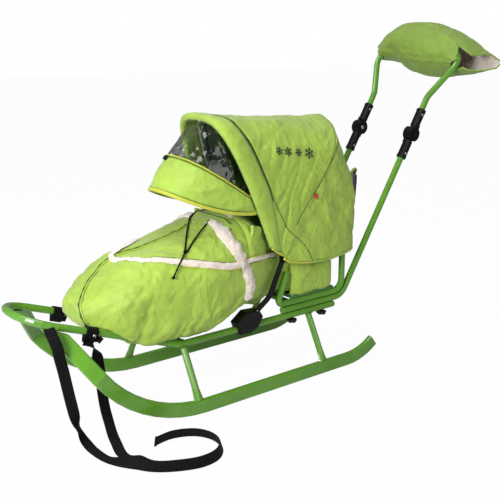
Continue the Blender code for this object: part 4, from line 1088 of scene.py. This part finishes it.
def build_cushion():
    """The padded backrest with three sewn channels, drawn in round its edge."""
    bm = bmesh.new()
    bmesh.ops.create_cube(bm, size=1.0)
    bmesh.ops.scale(bm, vec=(0.18, 0.026, 0.372), verts=bm.verts)
    bmesh.ops.subdivide_edges(bm, edges=bm.edges, cuts=3, use_grid_fill=True)
    bmesh.ops.translate(bm, vec=PAD_CENTRE, verts=bm.verts)
    piece = new_piece("back_pad", mesh_from(bm, "back_pad"), CUSHION)
    remesh = piece.modifiers.new("remesh", "REMESH")
    remesh.mode = "VOXEL"
    remesh.voxel_size = 0.0055
    apply_modifiers(piece)
    inflate(piece, 3.0, 0.006)
    for vert in piece.data.vertices:
        place = vert.co - PAD_CENTRE
        across, up = place.x / 0.094, place.z / 0.19
        inside = max(0.0, 1 - across ** 2) * max(0.0, 1 - abs(up) ** 3)
        channel = sum(exp(-((up - line) * 0.19 / 0.007) ** 2) for line in (-0.5, 0.0, 0.5))
        if place.y < 0:
            vert.co.y += 0.0012 * noise.noise(place * 60) - 0.006 * inside + 0.0045 * channel * inside
    smooth = piece.modifiers.new("smooth", "SUBSURF")
    smooth.levels = smooth.render_levels = 1
    apply_modifiers(piece)
    dress(piece, (CUSHION,))
    settle(piece, "frame", ["back_cushion"])
    skin = tree_of(piece)
    for n, up in enumerate((-0.095, 0.0, 0.095)):
        line = [at(x, -0.13, PAD_CENTRE.z + up) for x in (-0.083, -0.05, -0.02, 0.02, 0.05, 0.083)]
        hits = [skin.ray_cast(p, Vector((0, 1, 0)))[:2] for p in route_through(line, 0.004)]
        path, normals = zip(*((hit + normal * 0.0004, normal) for hit, normal in hits if hit is not None))
        stitching(f"back_pad_stitches_{n}", path, normals)


def inflate(piece, pressure, cap):
    """Blow the closed form up a little with the cloth solver, holding each point within cap of its start."""
    start = [v.co.copy() for v in piece.data.vertices]
    cloth = piece.modifiers.new("cloth", "CLOTH")
    cloth.settings.quality = 5
    cloth.settings.mass = 0.3
    cloth.settings.use_pressure = True
    cloth.settings.uniform_pressure_force = pressure
    cloth.settings.effector_weights.gravity = 0.0
    cloth.point_cache.frame_start, cloth.point_cache.frame_end = 1, 20
    for number in range(1, 21):
        bpy.context.scene.frame_set(number)
    apply_modifiers(piece)
    bpy.context.scene.frame_set(1)
    for vert, before in zip(piece.data.vertices, start):
        move = vert.co - before
        if move.length > cap:
            vert.co = before + move.normalized() * cap


# --- hood
# y and z, from low to high
HOOD_FRONT = ((-0.27, 0.412), (-0.425, 0.785))
HOOD_SEAM = ((-0.232, 0.392), (-0.236, 0.43), (-0.243, 0.47), (-0.262, 0.543), (-0.285, 0.594),
             (-0.311, 0.666), (-0.345, 0.74), (-0.362, 0.7795))
HOOD_REAR_BOW = ((-0.224, 0.373), (0.034, 0.756))
RING = 121


def risen(x, base, top, rise):
    """A point at x, a share of the way from base to top, both given as (y, z)."""
    return Vector((x, base[0] + (top[0] - base[0]) * rise, base[1] + (top[1] - base[1]) * rise))


def arch(base, top, half_width, square, points=15):
    ring = []
    for k in range(points):
        angle = pi * k / (points - 1)
        c, s = cos(angle), sin(angle)
        x = copysign(abs(c) ** (2 / square), c) * half_width
        rise = s ** (2 / square) if s > 0 else 0.0
        ring.append(risen(x, base, top, rise))
    return ring


def seam_arch():
    ring = arch((0, HOOD_SEAM[0][1]), (0, HOOD_SEAM[-1][1]), HOOD_WIDTH, 3.5)
    by_height = [(z, y) for y, z in HOOD_SEAM]
    return [Vector((p.x, interpolate(by_height, p.z)[0], p.z)) for p in ring]


def shoulder_arch(base, top, half_width, shoulder=0.6):
    half = [(1.0, 0.0), (1.0, shoulder * 0.62), (1.0, shoulder)]
    for k in range(1, 6):
        angle = pi / 2 * k / 5
        half.append((abs(cos(angle)) ** 1.33, shoulder + (1 - shoulder) * sin(angle) ** 0.73))
    shares = half[:-1] + [(0.0, 1.0)] + [(-x, rise) for x, rise in reversed(half[:-1])]
    return [risen(x * half_width, base, top, rise) for x, rise in shares]


def mixed(first, second, share, sag=0.0):
    top = max(p.z for p in first)
    return [a.lerp(b, share) - Vector((0, 0, sag * max(0.0, a.z / top) ** 4)) for a, b in zip(first, second)]


def rear_bow_arch():
    return shoulder_arch(*HOOD_REAR_BOW, HOOD_WIDTH)


def build_canopy():
    rows = []
    for share in (0.02 + 0.972 * k / 5 for k in range(6)):
        rows.append(resample(mixed(seam_arch(), rear_bow_arch(), share, 0.004 * sin(pi * share)), RING))

    def amount(i, j, p):
        value = 0.0026 * drawn_out(p, (0.2, 0.5, 0.85), 0.2, 0.05, 31.0)
        value -= 0.004 * creases(p, (0.1, 0.45, 0.9), 0.17, 0.038, 33.0) * min(1.0, i * 8) * (1 - 0.4 * i)
        pucker = exp(-i / 0.045) + exp(-(1 - i) / 0.05)
        value += 0.0011 * pucker * noise.noise(Vector((j * 90, i * 4, 0.5)))
        return min(value, 0.0022)

    rows = relief(refine_rows(rows, 10), amount, outward=hood_middle)
    piece = cloth_piece("hood_canopy_cloth", to_frame(rows), [CLOTH, LINING], 0.0026, None, ["hood_canopy"])
    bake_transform(piece)
    return piece


def build_rim():
    """The padded roll round the mouth of the hood, gathered there and sewn down along its seam: gives the seam."""
    mouth = resample(arch(*HOOD_FRONT, HOOD_WIDTH, 3.3), RING * 2)
    seam = resample(seam_arch(), RING * 2)
    section = ((0.07, 0.0), (0.18, -0.003), (0.32, -0.0036), (0.5, -0.0034), (0.66, -0.0025), (0.84, -0.0012),
               (1.0, 0.0), (1.0, 0.0045), (0.84, 0.0066), (0.66, 0.009), (0.5, 0.0115), (0.32, 0.0145),
               (0.18, 0.0162), (0.08, 0.016), (0.02, 0.014), (0.0, 0.0105), (-0.006, 0.007), (0.0, 0.004),
               (0.025, 0.0015))
    rows = []
    for k, (front, back) in enumerate(zip(mouth, seam)):
        inward = way_at(mouth, k).cross((back - front).normalized()).normalized()
        row = []
        for share, depth in section:
            outer = 1.0 if depth < 0.004 else 0.0
            gather = exp(-max(0.0, share) / 0.3)
            wave = noise.noise(Vector((k * 0.34, share * 1.4, 2.0)))
            wave += 0.5 * noise.noise(Vector((k * 0.75, share * 3, 7.0)))
            lift = 0.0023 * gather * wave + outer * 0.0012 * fold(front, (0.3, 0.8, 0.5), 0.1, 0.028, 41.0)
            lift -= outer * 0.0022 * exp(-((1 - share) / 0.1) ** 2)
            row.append(at(*(front.lerp(back, share) + inward * (depth - min(lift, 0.0035)))))
        rows.append(row)
    solid_piece("hood_rim_roll", rows, CLOTH, "hood_front", ["hood_rim"])
    return [at(*(a.lerp(b, 0.985))) for a, b in zip(mouth, seam)]


def rear_wall_y(z):
    return 0.081 + 0.004 * (z - 0.36) / 0.2


def build_hood_back():
    rows = [mixed(seam_arch(), rear_bow_arch(), 1.0)]
    rows += [shoulder_arch(*row) for row in (
        ((-0.196, 0.358), (0.04, 0.7505), HOOD_WIDTH, 0.56),
        ((-0.115, 0.343), (0.0455, 0.732), HOOD_WIDTH, 0.5),
        ((-0.04, 0.34), (0.052, 0.697), 0.147, 0.5),
        ((0.05, 0.35), (0.064, 0.658), 0.138, 0.5),
        ((0.074, 0.356), (0.078, 0.622), 0.12, 0.55))]
    rows += [shoulder_arch((rear_wall_y(low), low), (rear_wall_y(high), high), half, 0.6) for low, high, half in (
        (0.36, 0.585, 0.085), (0.361, 0.545, 0.04), (0.3615, 0.525, 0.0008))]
    rows = refine_rows([resample(row, RING) for row in rows], 8)

    def amount(i, j, p):
        side = clamp((abs(p.x) - 0.09) / 0.03)
        value = 0.0026 * drawn_out(p, (0.0, 0.5, 0.85), 0.18, 0.045, 51.0)
        value -= 0.0048 * side * creases(p, (0, 0.6, -0.75), 0.16, 0.04, 53.0)
        low = max(0.0, 1 - (p.z - 0.34) / 0.09)
        value += 0.0016 * low * fold(p, (0, 0.1, 1.0), 0.2, 0.022, 57.0)
        return min(value, 0.0022)

    rows = relief(rows, amount, outward=lambda p: Vector((0, -0.06, min(p.z, 0.55))))
    piece = cloth_piece("hood_back_cloth", to_frame(rows), [CLOTH, LINING], 0.0028, "frame", ["hood_back"])
    return piece


# y and z
SEAM_UPPER = ((-0.2585, 0.542), (-0.248, 0.518), (-0.233, 0.49), (-0.215, 0.459))
SEAM_FRONT = ((-0.215, 0.459), (-0.195, 0.44), (-0.161, 0.413), (-0.138, 0.385), (-0.115, 0.3475))
SEAM_REAR = ((0.012, 0.702), (-0.029, 0.655), (-0.075, 0.597), (-0.12, 0.54), (-0.155, 0.5), (-0.18, 0.466))


def side_line(surface, points, side, lift, spacing=0.005):
    """A line on the cloth, seen from one side, through layout (y, z) points; and the normals there."""
    places = route_through([Vector((0, y, z)) for y, z in points], spacing)
    path, normals = zip(*(from_side(surface, p.y, p.z, side, lift) for p in places))
    for _ in range(2):
        path = smoothed(path)
    return path, normals


def flake(bm, surface, y, z, size, turn, side):
    """A small six-armed star whose every point lies on the cloth."""
    def put(place):
        return bm.verts.new(from_side(surface, y + place.x, z + place.y, side, 0.0007)[0])

    def bar(start, end, half):
        cross = Vector((start.y - end.y, end.x - start.x)).normalized() * half
        middles = [(start.lerp(end, k / 4), cross * (1 - 0.45 * k / 4)) for k in range(5)]
        verts = [(put(middle + out), put(middle - out)) for middle, out in middles]
        for (a, b), (c, d) in zip(verts, verts[1:]):
            bm.faces.new((a, b, d, c))

    for arm in range(6):
        angle = turn + tau * arm / 6
        way = Vector((cos(angle), sin(angle)))
        across = Vector((-way.y, way.x))
        bar(Vector((0, 0)), way * size, size * 0.11)
        for share in (0.42, 0.68):
            for hand in (1, -1):
                root = way * size * share
                reach = (way * 0.62 + across * hand * 0.78) * size * 0.34 * (1.25 - share * 0.5)
                bar(root, root + reach, size * 0.085)


FLAKES = (  # y, z, size, turn
    (-0.234, 0.6815, 0.0125, 0.2), (-0.201, 0.6765, 0.0135, 0.5), (-0.166, 0.6715, 0.0125, 0.0),
    (-0.128, 0.6665, 0.0165, 0.3),
)
# x (on the left side), y and z
HEM_FRONT = ((0.15, -0.226, 0.372), (0.15, -0.212, 0.364), (0.15, -0.196, 0.3565), (0.15, -0.155, 0.348),
             (0.15, -0.115, 0.342))
HEM_RIM = ((0.15, -0.2705, 0.41), (0.15, -0.26, 0.403), (0.15, -0.246, 0.393), (0.15, -0.23, 0.384))
HEM_REST = ((0.15, -0.115, 0.3425), (0.1495, -0.07, 0.34), (0.147, -0.04, 0.339), (0.1435, 0.01, 0.344),
            (0.138, 0.05, 0.349), (0.12, 0.074, 0.355), (0.085, 0.0805, 0.359), (0.04, 0.081, 0.36),
            (0.0, 0.081, 0.3605))
TAG_LOOP = ((0.0008, 0.004, 0.004), (0.004, 0.0, -0.001), (0.0046, -0.004, -0.007), (0.0026, -0.0035, -0.0085),
            (0.0008, 0.002, -0.002))


def build_hood_trims(canopy, back, rim_edge):
    skin = tree_of(canopy, back)
    # The upper rim seam is a dark line of painted shade; its lower ends are plain cloth
    piping("hood_rim_seam", [p for p in rim_edge if p.z > 0.545], 0.0013, SEAM_PAINTED_SHADE, "hood_front", 6)
    for side, word in SIDES:
        piping("hood_rim_seam_low_" + word, [p for p in rim_edge if p.z < 0.55 and p.x * side > 0], 0.0011,
               CLOTH_SMOOTH, "hood_front", 6)
        upper, _ = side_line(skin, SEAM_UPPER, side, 0.0003)
        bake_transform(piping("hood_side_seam_" + word, upper, 0.0011, SEAM_PAINTED_SHADE, None, 6))
        for place, points, aside in (("gusset", SEAM_FRONT, 0.0035), ("rear", SEAM_REAR, -0.0035)):
            path, normals = side_line(skin, points, side, 0.0002)
            piping(f"hood_{place}_seam_{word}", path, 0.001, SEAM_PAINTED_SHADE, sides=6)
            stitching(f"hood_{place}_stitches_{word}", path, normals, aside=aside)
        bm = bmesh.new()
        for y, z, size, turn in FLAKES:
            flake(bm, skin, y, z, size, turn, side)
        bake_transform(new_piece("hood_print_" + word, mesh_from(bm, "hood_print_" + word), PRINT))
        for name, line, spacing, radius, mat, body in (
                ("hem_binding", HEM_FRONT, 0.005, lambda s: 0.0042 - 0.0018 * s, PIPING, "frame"),
                ("rim_binding", HEM_RIM, 0.004, 0.004, PIPING, "hood_front"),
                ("hem", HEM_REST, 0.006, 0.0022, CLOTH_SMOOTH, "frame")):
            piping(f"hood_{name}_{word}", side_route(line, side, spacing), radius, mat, body)
    place, _ = from_side(skin, -0.1066, 0.5437, 1, 0.0)
    path = route_through([place + Vector(step) for step in TAG_LOOP], 0.0012)
    ribbon("side_tag", path, [Vector((0, 0.8, -0.6))] * len(path), 0.0062, 0.0009, TAG)


POCKET_RINGS = (
    # distance from the wall, half width, bottom z, top z
    (0.0022, 0.082, 0.392, 0.568), (0.024, 0.084, 0.396, 0.59), (0.045, 0.072, 0.415, 0.58),
    (0.053, 0.042, 0.445, 0.57), (0.054, 0.004, 0.48, 0.568),
)


def build_pocket():
    """The pouch on the back wall: net, bound in lime along its mouth and edge."""
    rows = [half_ring(lambda z: rear_wall_y(z) + out, lambda z: half, low, high, 0.6, 24, 60)
            for out, half, low, high in POCKET_RINGS]
    rows = relief(refine_rows(rows, 7),
                  lambda i, j, p: min(0.0015, 0.0022 * drawn_out(p, (0.1, 0.3, 1), 0.12, 0.022, 61.0)),
                  outward=lambda p: Vector((0, 0.06, 0.52)))
    rows = to_frame(rows)
    piece = cloth_piece("rear_pocket_net", rows, NET, 0.0012, "frame", ["rear_pocket"], inner=0)
    mouth = [row[0] for row in rows] + [row[-1] for row in reversed(rows)]
    piping("rear_pocket_binding", route_through(mouth[::3] + [mouth[-1]], 0.006), 0.0034, CLOTH_SMOOTH)
    piping("rear_pocket_edge", [p + Vector((0, 0.0015, 0)) for p in rows[0]], 0.0028, CLOTH_SMOOTH)
    piping("rear_pocket_piping", [p + Vector((0, 0.0008, 0)) for p in rows[14][2:-2]], 0.0022, SEAM_PAINTED_SHADE)


# --- visor
# y and z at the sides and at the front
VISOR_LOW = ((-0.305, 0.512), (-0.558, 0.588))
VISOR_HIGH = ((-0.328, 0.56), (-0.494, 0.676))
WINDOW_TOP = ((-0.262, 0.41), (-0.408, 0.763))


def visor_edge(width, rear, front, lift=1.0, count=81):
    points = []
    for k in range(count):
        c, s = ellipse_power(pi * k / (count - 1), 0.8)
        s = max(0.0, s)
        y, z = rear[0] + (front[0] - rear[0]) * s, rear[1] + (front[1] - rear[1]) * s ** lift
        points.append(Vector((width * c, y, z)))
    return resample(points, 101)


def build_visor():
    low, high = visor_edge(VISOR_WIDTH, *VISOR_LOW, 1.8), visor_edge(VISOR_WIDTH, *VISOR_HIGH)
    outs = [Vector((a.x, -0.1, 0)).normalized() for a in low]
    rows = []
    for share in (k / 16 for k in range(17)):
        bulge = 0.0062 * sin(pi * share)
        rows.append([a.lerp(b, share) + out * bulge for a, b, out in zip(low, high, outs)])

    def amount(i, j, p):
        edge = exp(-i / 0.12) + exp(-(1 - i) / 0.12)
        value = 0.0022 * drawn_out(p, (0.4, 0.5, 0.6), 0.14, 0.035, 71.0) * (1 - 0.5 * edge)
        return value + 0.0012 * edge * noise.noise(Vector((j * 46, i * 3, 0.2)))

    rows = relief(rows, amount, outward=lambda p: Vector((0, -0.3, p.z)))
    panel = cloth_piece("visor_peak_cloth", to_frame(rows), [CLOTH, LINING], 0.003, "visor", ["visor_panel"])

    acrosses = [(b - a).normalized() for a, b in zip(low, high)]

    def edge_line(points, up, out):
        return [at(*(p + a * up + o * out)) for p, a, o in zip(points, acrosses, outs)]

    ribbon("visor_binding", edge_line(low, 0.0018, 0.0008), acrosses, 0.005, 0.0062, PIPING, "visor")
    # A dark line of painted shade along the binding's edge
    piping("visor_binding_seam", edge_line(low, 0.0078, 0.0024), 0.0011, SEAM_PAINTED_SHADE, "visor", 6)
    piping("visor_window_piping", [p + Vector((0, 0, 0.0008)) for p in edge_line(high, 0, 0.0012)], 0.0022, PIPING,
           "visor")
    piping("visor_window_seam", edge_line(high, -0.0042, 0.0026), 0.0013, SEAM_PAINTED_SHADE, "visor", 6)
    stitching("visor_stitches", edge_line(low, 0.0108, 0.0044), outs, "visor")

    upper = []
    for angle in (pi * k / 80 for k in range(81)):
        rise = 0.44 + 0.56 * max(0.0, sin(angle)) ** 0.55
        x = copysign((1 - min(rise, 1.0) ** 3.3) ** 0.303, cos(angle)) * (VISOR_WIDTH - 0.0035)
        upper.append(risen(x, *WINDOW_TOP, rise))
    pane_low, upper = visor_edge(VISOR_WIDTH - 0.0015, *VISOR_HIGH), resample(upper, 101)
    rows = [[a.lerp(b, k / 24) + Vector((0, 0, 0.0016)) for a, b in zip(pane_low, upper)] for k in range(25)]

    def crinkle(i, j, p):
        held = min(1.0, i * 5, (1 - i) * 5)
        value = 0.0034 * drawn_out(p, (0.25, 0.55, 0.8), 0.1, 0.016, 81.0) + 0.0016 * noise.noise(p * 70)
        return held * clamp(value, -0.004, 0.004)

    rows = relief(rows, crinkle, outward=lambda p: Vector((0, -0.3, 0.6)))
    pane = cloth_piece("visor_vinyl", to_frame(rows), CLEAR, 0.0006, None, ["visor_window"], inner=0)
    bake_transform(pane)


# --- hand muff
MUFF_ROWS = (
    # x, middle y, middle z, half depth, half height
    (-0.262, 0.508, 0.924, 0.046, 0.02), (-0.235, 0.514, 0.934, 0.058, 0.036), (-0.19, 0.521, 0.949, 0.067, 0.05),
    (-0.12, 0.528, 0.958, 0.072, 0.066), (-0.06, 0.532, 0.948, 0.076, 0.084), (0.0, 0.534, 0.94, 0.078, 0.09),
    (0.06, 0.534, 0.933, 0.078, 0.083), (0.12, 0.531, 0.926, 0.076, 0.071), (0.17, 0.525, 0.919, 0.073, 0.057),
    (0.215, 0.516, 0.911, 0.068, 0.043), (0.262, 0.507, 0.903, 0.058, 0.025),
)
HANDLE_BEND = Vector((RAIL_X, 0.393, 0.796))
HANDLE_CORNER = Vector((0.195, 0.487, 0.94))


def sleeve_ring(x_back, points):
    yc, zc, half_y, half_z = soft_interpolate(MUFF_ROWS, x_back, 0.018)
    slant = copysign(0.085, x_back) * max(0.0, abs(x_back) - 0.08) / 0.18
    ring = []
    for k in range(points):
        angle = tau * k / points
        front = (1 - cos(angle)) / 2
        ring.append(Vector((x_back - slant * front, yc + half_y * cos(angle), zc + half_z * sin(angle))))
    return ring


def sleeve_notch(side):
    leg = (HANDLE_CORNER - HANDLE_BEND).normalized()
    outward = (Vector((1, 0, 0)) - leg * leg.x).normalized()
    across = leg.cross(outward)
    reach = TUBE_R + 0.004
    rows = []
    for back, inner in ((0.006, 0.056), (0.042, 0.028), (0.072, 0.0165), (0.125, 0.014)):
        centre = HANDLE_CORNER - leg * back
        outline = [(-inner * sin(pi * k / 12), reach * cos(pi * k / 12)) for k in range(13)]
        ring = [centre + outward * a + across * b for a, b in outline + [(0.05, -reach), (0.05, reach)]]
        rows.append([at(side * p.x, p.y, p.z) for p in ring])
    return cutter_of("sleeve_notch", rows)


def build_hand_muff():
    rows = [sleeve_ring(-0.262 + 0.524 * k / 110, 96) for k in range(111)]

    def amount(i, j, p):
        low, high = clamp((0.935 - p.z) / 0.05), clamp((p.z - 0.95) / 0.03)
        value = 0.0042 * drawn_out(p, (1.0, 0.15, 0.0), 0.15, 0.034, 91.0)
        value -= 0.004 * creases(p, (1.0, 0.2, -0.15), 0.12, 0.028, 93.0) * (0.4 + 0.6 * low)
        value -= 0.005 * exp(-((p.x - 0.055 - 0.35 * (p.z - 0.97)) / 0.007) ** 2) * high
        edge = max(0.0, (abs(p.x) - 0.215) / 0.047)
        value += 0.003 * edge * sin(tau * j * 9 + 1.3) * 0.6
        return clamp(value, -0.008, 0.0042)

    rows = relief(rows, amount, closed=True, outward=lambda p: Vector((p.x, 0.525, 0.935)))
    # The sleeve's outer cloth is the darkened lime: painted shade
    piece = solid_piece("hand_muff_sleeve", to_frame(rows), [SLEEVE_CLOTH_PAINTED_SHADE, FLEECE], caps=False)
    thicken(piece, 0.0048, 1)
    piece.modifiers["thickness"].material_offset_rim = 0
    apply_modifiers(piece)
    cut_away(piece, sleeve_notch(1), sleeve_notch(-1))
    piece.data.shade_smooth()
    piece.data.set_sharp_from_angle(angle=radians(60))
    settle(piece, "handle", ["hand_muff"])


def build_seat_sides():
    """The seat's cloth hangs past its lower edges and rests on the top tube of the stack."""
    profile = ((0.1175, 0.345), (0.1236, 0.332), (0.1262, 0.305), (0.1275, 0.28), (0.1278, 0.262), (0.1262, 0.249),
               (0.1225, 0.2405), (0.1165, 0.2362), (0.109, 0.236))
    for side, word in SIDES:
        rows = []
        for k in range(41):
            y = -0.172 + 0.166 * k / 40
            tuck = 0.013 * abs(k / 20 - 1) ** 7
            row = []
            for x, z in profile:
                swell = 0.0016 * noise.noise(Vector((side * 3, y * 34, z * 26))) + 0.0007 * sin(y * 150 + z * 90)
                row.append(at(side * (x - tuck + swell), y, z + 0.0022 * sin(y * 70 + side) * (z < 0.27) + 0.001))
            rows.append(row)
        cloth_piece("seat_side_" + word, rows, CLOTH, 0.003, "frame", inner=0)


# --- assembly
add_tow_straps()
add_drawcords()
dress_frame()
add_fasteners()
add_welds()
footmuff = build_footmuff()
liner = build_liner()
collar = build_collar()
build_muff_trims(footmuff, liner, collar)
build_cushion()
build_seat_sides()
canopy = build_canopy()
rim_edge = build_rim()
back = build_hood_back()
build_hood_trims(canopy, back, rim_edge)
build_pocket()
build_visor()
build_hand_muff()
